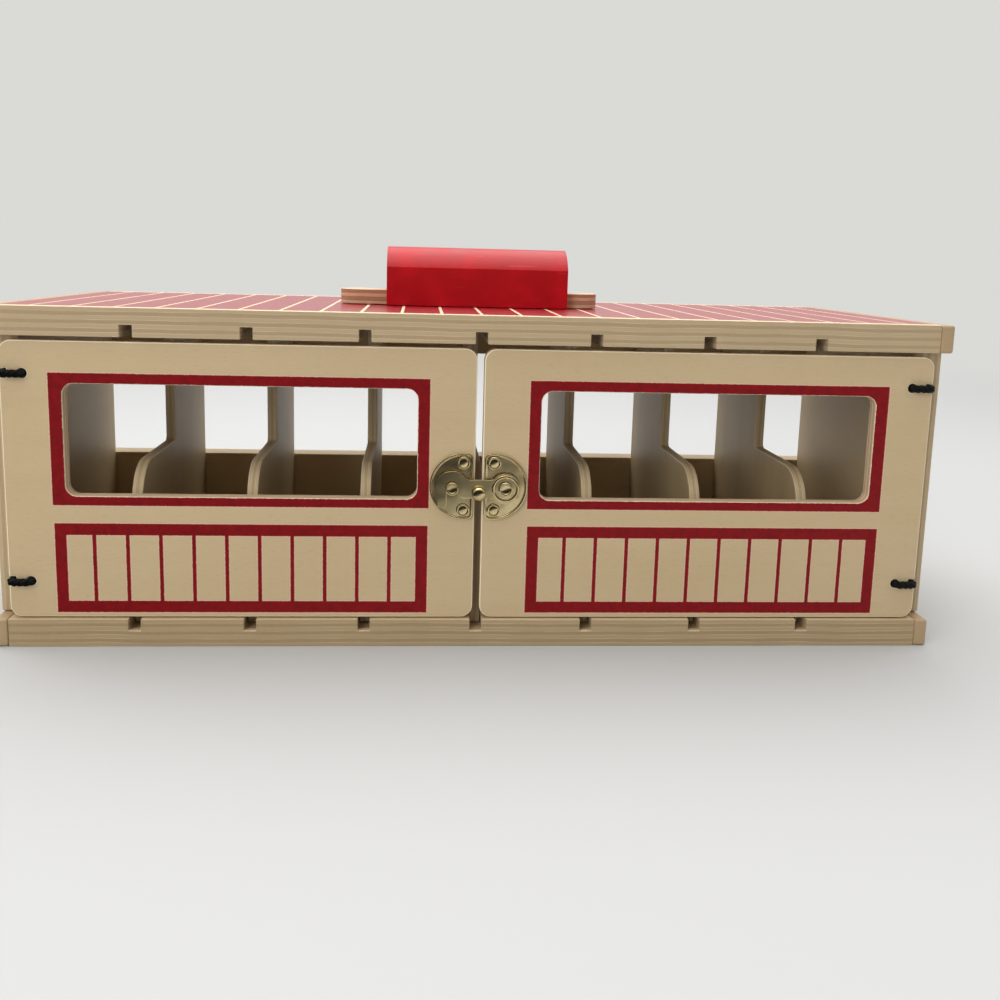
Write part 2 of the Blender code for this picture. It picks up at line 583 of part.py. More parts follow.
def build_arm(pivot, brass):
    """The pressed hook arm, with a ridge round its pivot, and the knob that lifts it."""
    face = DOOR_FRONT - ARM_FACE
    shape = prism(arm_outline(), "Y", DOOR_FRONT - ARM_BACK, face + ARM_EDGE_CHAMFER)
    front_face = [min(shape.faces, key=lambda item: item.calc_center_median().y)]
    bmesh.ops.inset_region(shape, faces=front_face, thickness=ARM_EDGE_CHAMFER, depth=ARM_EDGE_CHAMFER)
    arm = piece("latch_arm", shape, brass, pivot)
    half = ARM_RIDGE_WIDTH / 2
    sunk = ARM_FACE - ARM_EDGE_CHAMFER
    ridge = [(ARM_RIDGE_RADIUS + a, ARM_FACE + b) for a, b in arc((0, 0), half, pi, 0, CORNER_STEPS + 1)]
    flatten = ARM_RIDGE_RISE / half
    ridge = [(radius, ARM_FACE + (height - ARM_FACE) * flatten) for radius, height in ridge]
    ridge = [(ARM_RIDGE_RADIUS - half, sunk)] + ridge + [(ARM_RIDGE_RADIUS + half, sunk)]
    combine(arm, facing_out(turned(ridge + ridge[:1]), PIVOT_X, PIVOT_Z), "UNION", "ridge")
    front, rear = face - ARM_RIDGE_RISE - CUT_OVERRUN, DOOR_FRONT
    drill(arm, PIVOT_X, PIVOT_Z, PIVOT_RADIUS + METAL_GAP, front, rear, "pivot_hole")
    knob_x, knob_z = PIVOT_X - ARM_REACH / 2, PIVOT_Z - KNOB_DROP
    drill(arm, knob_x, knob_z, KNOB_SHANK_RADIUS + METAL_GAP, front, rear, "knob_hole")
    profile = [(0, ARM_BACK), (KNOB_SHANK_RADIUS, ARM_BACK), (KNOB_SHANK_RADIUS, RIVET_SEAT)]
    profile += [(KNOB_RADIUS * KNOB_NECK_SHARE, RIVET_SEAT)]
    profile += [(KNOB_RADIUS * across, RIVET_SEAT + KNOB_HEIGHT * up) for across, up in KNOB_BELLY_SHARES]
    profile += [(0, RIVET_SEAT + KNOB_HEIGHT)]
    piece("latch_knob", facing_out(turned(profile), knob_x, knob_z), brass, pivot)


def main():
    for old in list(bpy.data.objects):
        bpy.data.objects.remove(old)
    plywood = principled("Plywood", (0.5, 0.39, 0.24), 0.55)
    lipping = principled("Solid wood strip", (0.45, 0.34, 0.2), 0.55)
    roof_paint = principled("Roof paint", (0.35, 0.008, 0.02), 0.35)
    block_paint = principled("Block paint", (0.3, 0.003, 0.006), 0.3)
    brass = principled("Pale brass", (0.55, 0.47, 0.3), 0.3, 1.0)
    steel = principled("Zinc plated steel", (0.55, 0.55, 0.54), 0.35, 1.0)
    cord = principled("Black cord", (0.01, 0.01, 0.011), 0.7)

    build_boards(plywood, lipping, roof_paint)
    build_walls(plywood)
    build_dividers(plywood)
    build_handle(plywood, block_paint, steel)
    for side, sign, fitting in (("left", -1, "keeper"), ("right", 1, "pivot")):
        hinge = pivot_empty(f"{side}_door_hinge", sign * HINGE_X, HINGE_Y, DOOR_BOTTOM)
        build_door(side, sign, hinge, plywood)
        build_hinge_cords(side, sign, hinge, cord)
        build_plate(fitting, sign, hinge, brass)
        if sign < 0:
            build_post(hinge, brass)
        else:
            build_pivot(hinge, brass)
    arm_pivot = pivot_empty("latch_pivot", PIVOT_X, DOOR_FRONT, PIVOT_Z)
    build_arm(arm_pivot, brass)
    arm_pivot.parent = bpy.data.objects["right_door_hinge"]
    arm_pivot.matrix_parent_inverse = arm_pivot.parent.matrix_world.inverted()


main()
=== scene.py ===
"""The looks of a plywood toy stable: boards and walls, printed doors, cord hinges and a hook latch."""

import json
import logging
from collections.abc import Callable, Sequence
from dataclasses import dataclass
from enum import Enum
from math import acos, atan2, cos, hypot, pi, radians, sin, sqrt
from typing import Any

import bmesh
import bpy
from mathutils import Matrix, Vector

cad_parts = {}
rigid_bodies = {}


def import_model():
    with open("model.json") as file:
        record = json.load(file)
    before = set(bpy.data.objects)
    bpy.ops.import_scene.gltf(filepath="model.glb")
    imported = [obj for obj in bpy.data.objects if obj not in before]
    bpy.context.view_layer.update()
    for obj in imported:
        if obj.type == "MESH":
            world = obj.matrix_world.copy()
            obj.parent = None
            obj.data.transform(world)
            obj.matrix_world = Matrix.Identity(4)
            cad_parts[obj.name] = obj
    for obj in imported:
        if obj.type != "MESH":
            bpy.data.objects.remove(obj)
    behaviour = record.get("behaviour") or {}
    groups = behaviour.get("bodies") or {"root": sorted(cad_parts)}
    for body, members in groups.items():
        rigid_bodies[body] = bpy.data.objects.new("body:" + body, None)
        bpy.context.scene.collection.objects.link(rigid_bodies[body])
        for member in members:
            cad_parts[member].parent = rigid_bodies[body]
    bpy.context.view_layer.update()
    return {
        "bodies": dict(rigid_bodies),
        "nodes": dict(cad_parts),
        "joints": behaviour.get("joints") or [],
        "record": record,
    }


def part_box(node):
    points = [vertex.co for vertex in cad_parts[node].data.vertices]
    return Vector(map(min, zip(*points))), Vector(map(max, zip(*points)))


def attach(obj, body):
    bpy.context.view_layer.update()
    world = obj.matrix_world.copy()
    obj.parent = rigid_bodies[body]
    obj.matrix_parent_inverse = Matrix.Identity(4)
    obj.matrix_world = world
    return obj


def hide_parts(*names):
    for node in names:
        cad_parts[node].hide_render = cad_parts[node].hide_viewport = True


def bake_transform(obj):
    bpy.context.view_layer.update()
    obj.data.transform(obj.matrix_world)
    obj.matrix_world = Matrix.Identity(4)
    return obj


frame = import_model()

log = logging.getLogger("stable")

Colour = tuple[int, int, int]
Point = tuple[float, float, float]
Place = tuple[float, float]

MM = 0.001
SMOOTH_ANGLE = radians(38)
FACE_WEIGHT = 80
DOUBLES = MM / 1000
OVERRUN = MM
STRAIGHT_SHARE = 0.99
ROUND_SIDES = 64
HOLE_SIDES = 48
SMALL_SIDES = 32

SCREEN_TOE = 0.04045
SCREEN_TOE_SLOPE = 12.92
SCREEN_OFFSET = 0.055
SCREEN_POWER = 2.4

# The Mix node has a socket of each name for each kind of value, so its colours are taken by number
MIX_SHARE, MIX_LOW, MIX_HIGH, MIX_RESULT = 0, 6, 7, 2


class Axis(Enum):
    """A direction of the object's frame, by its place in a vector."""

    X = 0
    Y = 1
    Z = 2


class Body(Enum):
    """The bodies that pieces ride on."""

    STABLE = "stable"
    LEFT_DOOR = "left_door"
    RIGHT_DOOR = "right_door"
    HOOK = "hook"


class Slot(Enum):
    """The finishes that the record lists."""

    PLYWOOD = "plywood"
    END_STRIP = "end_strip_wood"
    ROOF = "red_roof_wood"
    RED_BLOCK = "red_block_wood"
    BRASS = "pale_brass"
    STEEL = "zinc_steel"
    CORD = "black_cord"


def linear(colour: Colour) -> tuple[float, float, float, float]:
    """Turns a colour as a screen shows it into the shader's linear one.

    Args:
        colour: Red, green and blue from 0 to 255.

    Returns:
        The linear colour with full alpha.
    """
    shares = [channel / 255 for channel in colour]
    red, green, blue = [
        share / SCREEN_TOE_SLOPE
        if share <= SCREEN_TOE
        else ((share + SCREEN_OFFSET) / (1 + SCREEN_OFFSET)) ** SCREEN_POWER
        for share in shares
    ]
    return (red, green, blue, 1.0)


# Modelling by hand


@dataclass(frozen=True)
class Rounding:
    """How edges are rounded: how far each is drawn back, and how many faces replace it."""

    width: float
    steps: int = 2


def clear_selection() -> None:
    """Leaves edit mode and deselects every object."""
    if bpy.context.mode != "OBJECT":
        bpy.ops.object.mode_set(mode="OBJECT")
    bpy.ops.object.select_all(action="DESELECT")


def take(*pieces: bpy.types.Object) -> None:
    """Selects only these objects.

    Args:
        pieces: The objects. The first of them becomes the active one.
    """
    clear_selection()
    for piece in pieces:
        piece.select_set(True)
    bpy.context.view_layer.objects.active = pieces[0]


def settle(piece: bpy.types.Object) -> None:
    """Puts a piece's place, turn and scale into its mesh."""
    take(piece)
    bpy.ops.object.transform_apply(location=True, rotation=True, scale=True)


def named(name: str) -> bpy.types.Object:
    """Names the active object and its data.

    Args:
        name: The name of the piece that it becomes.

    Returns:
        The object.
    """
    made = bpy.context.object
    made.name = name
    made.data.name = name
    return made


def block(name: str, low: Sequence[float], high: Sequence[float]) -> bpy.types.Object:
    """Adds a block between two corners.

    Args:
        name: The piece's name.
        low: Its lowest corner.
        high: Its highest corner.

    Returns:
        The settled block.
    """
    clear_selection()
    middle = [(a + b) / 2 for a, b in zip(low, high)]
    bpy.ops.mesh.primitive_cube_add(size=1, location=middle)
    made = named(name)
    made.scale = [abs(b - a) for a, b in zip(low, high)]
    settle(made)
    return made


def rod(
    name: str, centre: Point, radius: float, length: float, sides: int = ROUND_SIDES, axis: Axis = Axis.Y
) -> bpy.types.Object:
    """Adds a round rod.

    Args:
        name: The piece's name.
        centre: Its middle.
        radius: Its radius.
        length: Its length along the axis.
        sides: How many faces it has round.
        axis: The axis that it runs along.

    Returns:
        The settled rod.
    """
    turns = {Axis.X: (0, pi / 2, 0), Axis.Y: (pi / 2, 0, 0), Axis.Z: (0, 0, 0)}
    clear_selection()
    bpy.ops.mesh.primitive_cylinder_add(
        vertices=sides, radius=radius, depth=length, location=centre, rotation=turns[axis]
    )
    made = named(name)
    settle(made)
    return made


def arc(centre: Place, radius: float, start: float, end: float, steps: int) -> list[Place]:
    """Points of an arc from the start angle to the end angle, both ends included."""
    angles = [start + (end - start) * step / steps for step in range(steps + 1)]
    return [(centre[0] + radius * cos(angle), centre[1] + radius * sin(angle)) for angle in angles]


def draw(name: str, outline: Sequence[Place], back: float, face: float) -> bpy.types.Object:
    """Draws an outline from point to point, fills it and pulls it out to its thickness.

    Args:
        name: The piece's name.
        outline: Places across and heights, in order round the piece.
        back: The depth of its back.
        face: The depth of its face.

    Returns:
        The piece.
    """
    clear_selection()
    bpy.ops.mesh.primitive_plane_add(size=MM, location=(outline[0][0], back, outline[0][1]))
    made = named(name)
    settle(made)
    bpy.ops.object.mode_set(mode="EDIT")
    bpy.ops.mesh.select_mode(type="VERT")
    bpy.ops.mesh.select_all(action="SELECT")
    bpy.ops.mesh.merge(type="CENTER")
    for here, there in zip(outline, [*outline[1:], outline[0]]):
        step = (there[0] - here[0], 0, there[1] - here[1])
        bpy.ops.mesh.extrude_region_move(TRANSFORM_OT_translate={"value": step})
    bpy.ops.mesh.select_all(action="SELECT")
    bpy.ops.mesh.remove_doubles(threshold=DOUBLES)
    bpy.ops.mesh.select_all(action="SELECT")
    bpy.ops.mesh.edge_face_add()
    bpy.ops.mesh.extrude_region_move(TRANSFORM_OT_translate={"value": (0, face - back, 0)})
    bpy.ops.mesh.select_all(action="SELECT")
    bpy.ops.mesh.normals_make_consistent(inside=False)
    clear_selection()
    return made


def edit(piece: bpy.types.Object, kind: str) -> None:
    """Enters edit mode on a piece, with nothing selected.

    Args:
        piece: The piece.
        kind: What is picked there: FACE or EDGE.
    """
    take(piece)
    bpy.ops.object.mode_set(mode="EDIT")
    bpy.ops.mesh.select_mode(type=kind)
    bpy.ops.mesh.select_all(action="DESELECT")


def pick_faces(piece: bpy.types.Object, wanted: Callable[[bmesh.types.BMFace], bool]) -> int:
    """Selects the faces that pass a test.

    Args:
        piece: A piece in edit mode.
        wanted: The test, by place or normal.

    Returns:
        How many faces passed.
    """
    mesh = bmesh.from_edit_mesh(piece.data)
    found = 0
    for face in mesh.faces:
        face.select_set(wanted(face))
        found += face.select
    mesh.select_flush_mode()
    bmesh.update_edit_mesh(piece.data)
    return found


def pick_edges(piece: bpy.types.Object, wanted: Callable[[Vector, Vector], bool]) -> int:
    """Selects the edges whose two ends pass a test.

    Args:
        piece: A piece in edit mode.
        wanted: The test on the edge's ends.

    Returns:
        How many edges passed.
    """
    mesh = bmesh.from_edit_mesh(piece.data)
    found = 0
    for edge in mesh.edges:
        chosen = wanted(edge.verts[0].co, edge.verts[1].co)
        edge.select_set(chosen)
        found += chosen
    mesh.select_flush_mode()
    bmesh.update_edit_mesh(piece.data)
    return found


def round_corners(
    piece: bpy.types.Object, along: Axis, rounding: Rounding, near: Callable[[Vector], bool]
) -> None:
    """Rounds the edges that run along one axis.

    Args:
        piece: The piece.
        along: The axis that the edges run along.
        rounding: The corner's radius and steps.
        near: Which edges, by the middle of each.
    """
    edit(piece, "EDGE")

    def runs_along(start: Vector, end: Vector) -> bool:
        """Whether an edge runs along the axis where the test wants it."""
        span = end - start
        return abs(span[along.value]) > STRAIGHT_SHARE * span.length and near((start + end) / 2)

    pick_edges(piece, runs_along)
    bpy.ops.mesh.bevel(offset=rounding.width, segments=rounding.steps, affect="EDGES")
    clear_selection()


def add_modifier(piece: bpy.types.Object, kind: str, **settings: Any) -> None:
    """Adds a modifier and applies it.

    Args:
        piece: The piece.
        kind: The modifier's type.
        settings: Its settings by name.
    """
    take(piece)
    modifier = piece.modifiers.new(kind.title(), kind)
    for name, value in settings.items():
        setattr(modifier, name, value)
    bpy.ops.object.modifier_apply(modifier=modifier.name)


def carve(piece: bpy.types.Object, *tools: bpy.types.Object, operation: str = "DIFFERENCE") -> None:
    """Cuts tools from a piece, and removes them.

    Args:
        piece: The piece.
        tools: Closed shapes in their places.
        operation: DIFFERENCE, or UNION to join them to the piece instead.
    """
    for tool in tools:
        add_modifier(piece, "BOOLEAN", operation=operation, object=tool)
        bpy.data.objects.remove(tool)


def finish_edges(piece: bpy.types.Object, rounding: Rounding) -> None:
    """Breaks the sharp edges and lets large faces keep their flat shading.

    Args:
        piece: The piece.
        rounding: How each edge is broken.
    """
    add_modifier(
        piece, "BEVEL", width=rounding.width, segments=rounding.steps, limit_method="ANGLE",
        angle_limit=SMOOTH_ANGLE, use_clamp_overlap=True,
    )
    bpy.ops.object.shade_smooth_by_angle(angle=SMOOTH_ANGLE)
    add_modifier(piece, "WEIGHTED_NORMAL", keep_sharp=True, weight=FACE_WEIGHT)


def lathe(name: str, profile: Sequence[Place], sides: int = ROUND_SIDES) -> bpy.types.Object:
    """Grows a turned shape ring by ring from a flat round foot, facing the viewer.

    Args:
        name: The piece's name.
        profile: Radius and height of each ring, from the foot up. The last ring is closed flat.
        sides: How many faces it has round.

    Returns:
        The piece, with its axis along -Y through the origin, and its zero height at the origin.
    """
    clear_selection()
    radius, height = profile[0]
    bpy.ops.mesh.primitive_circle_add(
        vertices=sides, radius=radius, fill_type="NGON", location=(0, 0, height)
    )
    made = named(name)
    settle(made)
    bpy.ops.object.mode_set(mode="EDIT")
    bpy.ops.mesh.select_mode(type="FACE")
    bpy.ops.mesh.select_all(action="SELECT")
    for next_radius, next_height in profile[1:]:
        bpy.ops.mesh.extrude_region_move(TRANSFORM_OT_translate={"value": (0, 0, next_height - height)})
        share = next_radius / radius
        bpy.ops.transform.resize(value=(share, share, 1), center_override=(0, 0, next_height))
        radius, height = next_radius, next_height
    bpy.ops.mesh.select_all(action="SELECT")
    bpy.ops.mesh.normals_make_consistent(inside=False)
    clear_selection()
    made.rotation_euler = (pi / 2, 0, 0)
    settle(made)
    return made


def move_to(piece: bpy.types.Object, place: Point) -> bpy.types.Object:
    """Moves a finished piece to its place.

    Args:
        piece: The piece, modelled about the origin.
        place: Where its origin goes.

    Returns:
        The settled piece.
    """
    piece.location = place
    settle(piece)
    return piece


def tube(name: str, routes: Sequence[Sequence[Point]], radius: float) -> bpy.types.Object:
    """Makes round strands along routes, as one mesh.

    Args:
        name: The piece's name.
        routes: The points that each strand follows.
        radius: The strands' radius.

    Returns:
        The strands.
    """
    curve = bpy.data.curves.new(name, "CURVE")
    curve.dimensions = "3D"
    curve.bevel_depth = radius
    curve.bevel_resolution = 3
    curve.use_fill_caps = True
    for route in routes:
        spline = curve.splines.new("POLY")
        spline.points.add(len(route) - 1)
        for point, place in zip(spline.points, route):
            point.co = (*place, 1.0)
    made = bpy.data.objects.new(name, curve)
    bpy.context.scene.collection.objects.link(made)
    take(made)
    bpy.ops.object.convert(target="MESH")
    bpy.ops.object.shade_smooth()
    return bpy.context.object


def dress(
    piece: bpy.types.Object, material: bpy.types.Material, slot: Slot, body: Body, *nodes: str
) -> None:
    """Dresses a new piece and puts it on its body.

    Args:
        piece: The piece.
        material: Its finish.
        slot: The finish of the record that it shows. It is not used.
        body: The body that carries it.
        nodes: The nodes that it stands for, if any.
    """
    piece.data.materials.clear()
    piece.data.materials.append(material)
    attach(piece, body.value)
    if nodes:
        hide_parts(*nodes)
    log.info("made %s for %s", piece.name, ", ".join(nodes) or "detail")


# Materials


@dataclass(frozen=True)
class Noise:
    """A noise texture: its scale, or one for each axis, its finer layers, and how strong they are."""

    scale: float | Point
    detail: float = 3.0
    rough: float = 0.55


class Graph:
    """A node tree that calls wire up from left to right."""

    def __init__(self, tree: bpy.types.NodeTree) -> None:
        """Takes the tree to build in."""
        self.tree = tree

    def surface(
        self, colour: Any, rough: Any, height: Any, depth: float, strength: float, normal: Any = None
    ) -> bpy.types.Node:
        """Wires up a material's shader.

        Args:
            colour: Its colour.
            rough: Its roughness.
            height: The pattern of its small bumps.
            depth: How high they are.
            strength: How much of them shows.
            normal: The normal that they stand on, if it isn't the mesh's own.

        Returns:
            The shader.
        """
        shader = self.tree.nodes["Principled BSDF"]
        places = {"Height": height, "Distance": depth, "Strength": strength}
        if normal is not None:
            places["Normal"] = normal
        bump = self.add("Bump", places).outputs[0]
        for socket, value in (("Base Color", colour), ("Roughness", rough), ("Normal", bump)):
            self.tree.links.new(value, shader.inputs[socket])
        return shader

    def off_repeat(self, turns: Any, pitch: float) -> bpy.types.NodeSocket:
        """How far a place is from the middle of its repeat, by a count of repeats and their pitch."""
        part = self.math("SUBTRACT", self.math("FRACT", turns), 0.5)
        return self.math("MULTIPLY", self.math("ABSOLUTE", part), pitch)

    def wobble(self, vector: Any, noise: Noise, size: float) -> bpy.types.NodeSocket:
        """Small steps to either side that make a drawn edge uneven."""
        return self.math("MULTIPLY", self.math("SUBTRACT", self.noise(vector, noise), 0.5), size)

    def add(self, kind: str, inputs: dict[str | int, Any] | None = None, **settings: Any) -> bpy.types.Node:
        """Adds a node.

        Args:
            kind: The node's type without its ShaderNode prefix.
            inputs: Its inputs by name or place, each a value or a socket to link from.
            settings: Its other properties.

        Returns:
            The node.
        """
        node = self.tree.nodes.new("ShaderNode" + kind)
        for name, value in settings.items():
            setattr(node, name, value)
        for name, value in (inputs or {}).items():
            if isinstance(value, bpy.types.NodeSocket):
                self.tree.links.new(value, node.inputs[name])
            else:
                node.inputs[name].default_value = value
        return node

    def math(self, operation: str, *values: Any, clamp: bool = False) -> bpy.types.NodeSocket:
        """Adds a Math node and returns its result."""
        return self.add("Math", dict(enumerate(values)), operation=operation, use_clamp=clamp).outputs[0]

    def mix(self, share: Any, low: Any, high: Any) -> bpy.types.NodeSocket:
        """Mixes two colours and returns the result."""
        inputs = {MIX_SHARE: share, MIX_LOW: low, MIX_HIGH: high}
        return self.add("Mix", inputs, data_type="RGBA").outputs[MIX_RESULT]

    def ramp(
        self, value: Any, low: float, high: float, start: float = 0.0, end: float = 1.0
    ) -> bpy.types.NodeSocket:
        """Maps a value from one range to another with a smooth step, and returns the result."""
        places = {"Value": value, "From Min": low, "From Max": high, "To Min": start, "To Max": end}
        return self.add("MapRange", places, interpolation_type="SMOOTHSTEP").outputs[0]

    def noise(self, vector: Any, noise: Noise) -> bpy.types.NodeSocket:
        """Adds a noise texture.

        Args:
            vector: The coordinates.
            noise: The texture's settings.

        Returns:
            Its value.
        """
        scale = noise.scale
        if isinstance(scale, tuple):
            vector = self.add("Mapping", {"Vector": vector, "Scale": scale}).outputs[0]
            scale = 1.0
        places = {"Vector": vector, "Scale": scale, "Detail": noise.detail, "Roughness": noise.rough}
        return self.add("TexNoise", places).outputs[0]

    def group(self, name: str, inputs: dict[str, Any]) -> bpy.types.Node:
        """Places a shared node group.

        Args:
            name: The group's name.
            inputs: Its inputs by name, each a value or a socket to link from.

        Returns:
            The group node.
        """
        node = self.tree.nodes.new("ShaderNodeGroup")
        node.node_tree = bpy.data.node_groups[name]
        for key, value in inputs.items():
            if isinstance(value, bpy.types.NodeSocket):
                self.tree.links.new(value, node.inputs[key])
            else:
                node.inputs[key].default_value = value
        return node


def new_group(name: str, inputs: dict[str, str], outputs: dict[str, str]) -> tuple[Graph, Any, Any]:
    """Starts a shared node group.

    Args:
        name: The group's name.
        inputs: Its inputs, each with its socket type.
        outputs: Its outputs, each with its socket type.

    Returns:
        The group's graph, its input sockets and its output node.
    """
    tree = bpy.data.node_groups.new(name, "ShaderNodeTree")
    for kind, sockets in (("INPUT", inputs), ("OUTPUT", outputs)):
        for socket, socket_type in sockets.items():
            tree.interface.new_socket(socket, in_out=kind, socket_type="NodeSocket" + socket_type)
    start = tree.nodes.new("NodeGroupInput")
    end = tree.nodes.new("NodeGroupOutput")
    return Graph(tree), start.outputs, end.inputs


@dataclass(frozen=True)
class WoodFigure:
    """The shared effect of a wood's figure: long bands and clouds, fuzz and pores."""

    bands: Noise = Noise((10.0, 150.0, 150.0), 4.0, 0.6)
    pores: Noise = Noise((330.0, 4200.0, 4200.0), 2.0, 0.5)
    fuzz: Noise = Noise((900.0, 2400.0, 2400.0), 3.0, 0.65)
    clouds: Noise = Noise(22.0, 2.0, 0.5)
    band_share: float = 0.4
    cloud_share: float = 0.3
    fuzz_share: float = 0.3
    pore_range: tuple[float, float] = (0.56, 0.74)
    fuzz_height: float = 0.7
    pore_depth: float = 0.4

    def build(self) -> None:
        """Builds the group."""
        graph, given, out = new_group(
            "Wood figure",
            {"Vector": "Vector", "Strength": "Float"},
            {"Tone": "Float", "Pores": "Float", "Height": "Float"},
        )
        link = graph.tree.links.new
        bands = graph.noise(given["Vector"], self.bands)
        dashes = graph.noise(given["Vector"], self.pores)
        clouds = graph.noise(given["Vector"], self.clouds)
        fuzz = graph.noise(given["Vector"], self.fuzz)
        tone = graph.math("MULTIPLY", bands, self.band_share)
        tone = graph.math("ADD", tone, graph.math("MULTIPLY", clouds, self.cloud_share))
        tone = graph.math("MULTIPLY_ADD", fuzz, self.fuzz_share, tone)
        spread = graph.math("SUBTRACT", tone, 0.5)
        link(graph.math("MULTIPLY_ADD", spread, given["Strength"], 0.5, clamp=True), out["Tone"])
        pores = graph.ramp(dashes, *self.pore_range)
        link(pores, out["Pores"])
        sunk = graph.math("MULTIPLY", pores, self.pore_depth)
        link(graph.math("SUBTRACT", graph.math("MULTIPLY", fuzz, self.fuzz_height), sunk), out["Height"])


@dataclass(frozen=True)
class PlyStack:
    """The shared effect of plies on an edge: which way each runs, the glue between them and dark specks."""

    waves: Noise = Noise(38.0, 3.0, 0.5)
    wave_height: float = 0.9
    glue_half: float = 0.16
    specks: Noise = Noise(2600.0, 2.0, 0.6)
    speck_range: tuple[float, float] = (0.5, 0.75)

    def build(self) -> None:
        """Builds the group."""
        graph, given, out = new_group(
            "Ply stack",
            {"Depth": "Float", "Ply": "Float", "Vector": "Vector"},
            {"Cross": "Float", "Glue": "Float", "Speck": "Float"},
        )
        link = graph.tree.links.new
        wave = graph.math("SUBTRACT", graph.noise(given["Vector"], self.waves), 0.5)
        wave = graph.math("MULTIPLY", wave, self.wave_height)
        level = graph.math("ADD", graph.math("DIVIDE", given["Depth"], given["Ply"]), wave)
        part = graph.math("FRACT", level)
        near = graph.math("MINIMUM", part, graph.math("SUBTRACT", 1.0, part))
        link(graph.ramp(near, 0.0, self.glue_half, 1.0, 0.0), out["Glue"])
        cross = graph.math("PINGPONG", graph.math("FLOOR", level), 1.0)
        link(cross, out["Cross"])
        speck = graph.ramp(graph.noise(given["Vector"], self.specks), *self.speck_range)
        link(graph.math("MULTIPLY", speck, cross), out["Speck"])


class Rectangle:
    """The shared effect of a rectangle with round corners: how far a point lies outside it."""

    def build(self) -> None:
        """Builds the group."""
        inputs = ("Across", "Up", "Middle", "Centre", "Wide", "High", "Round")
        graph, given, out = new_group("Rectangle", dict.fromkeys(inputs, "Float"), {"Distance": "Float"})
        over = []
        for place, middle, half in (("Across", "Middle", "Wide"), ("Up", "Centre", "High")):
            away = graph.math("ABSOLUTE", graph.math("SUBTRACT", given[place], given[middle]))
            over.append(graph.math("ADD", graph.math("SUBTRACT", away, given[half]), given["Round"]))
        outside = [graph.math("MAXIMUM", value, 0.0) for value in over]
        squares = [graph.math("MULTIPLY", value, value) for value in outside]
        reach = graph.math("SQRT", graph.math("ADD", *squares))
        within = graph.math("MINIMUM", graph.math("MAXIMUM", *over), 0.0)
        distance = graph.math("SUBTRACT", graph.math("ADD", reach, within), given["Round"])
        graph.tree.links.new(distance, out["Distance"])


@dataclass(frozen=True)
class HandlingMarks:
    """The shared effect of use: smudges, and fine scratches that run aslant."""

    smudges: Noise = Noise(1.0, 3.0, 0.6)
    smudge_range: tuple[float, float] = (0.35, 0.7)
    scratch_turn: Point = (0.3, 0.5, 0.9)
    scratch_stretch: Point = (70.0, 1900.0, 1900.0)
    scratches: Noise = Noise(1.0, 1.0, 0.4)
    scratch_range: tuple[float, float] = (0.74, 0.8)

    def build(self) -> None:
        """Builds the group."""
        graph, given, out = new_group(
            "Handling marks", {"Vector": "Vector", "Size": "Float"}, {"Smudge": "Float", "Scratch": "Float"}
        )
        link = graph.tree.links.new
        places = {0: given["Vector"], "Scale": given["Size"]}
        sized = graph.add("VectorMath", places, operation="SCALE").outputs[0]
        link(graph.ramp(graph.noise(sized, self.smudges), *self.smudge_range), out["Smudge"])
        places = {0: given["Vector"], "Rotation": self.scratch_turn, "Scale": self.scratch_stretch}
        aslant = graph.add("Mapping", places).outputs[0]
        link(graph.ramp(graph.noise(aslant, self.scratches), *self.scratch_range), out["Scratch"])


def make_groups() -> None:
    """Builds the effects that several finishes share."""
    for effect in (WoodFigure(), PlyStack(), Rectangle(), HandlingMarks()):
        effect.build()


def start_material(name: str, plain: Colour) -> tuple[bpy.types.Material, Graph]:
    """Starts a material.

    Args:
        name: Its name.
        plain: The colour that stands for it in a plain view.

    Returns:
        The material and its graph.
    """
    made = bpy.data.materials.new(name)
    made.use_nodes = True
    made.diffuse_color = linear(plain)
    return made, Graph(made.node_tree)


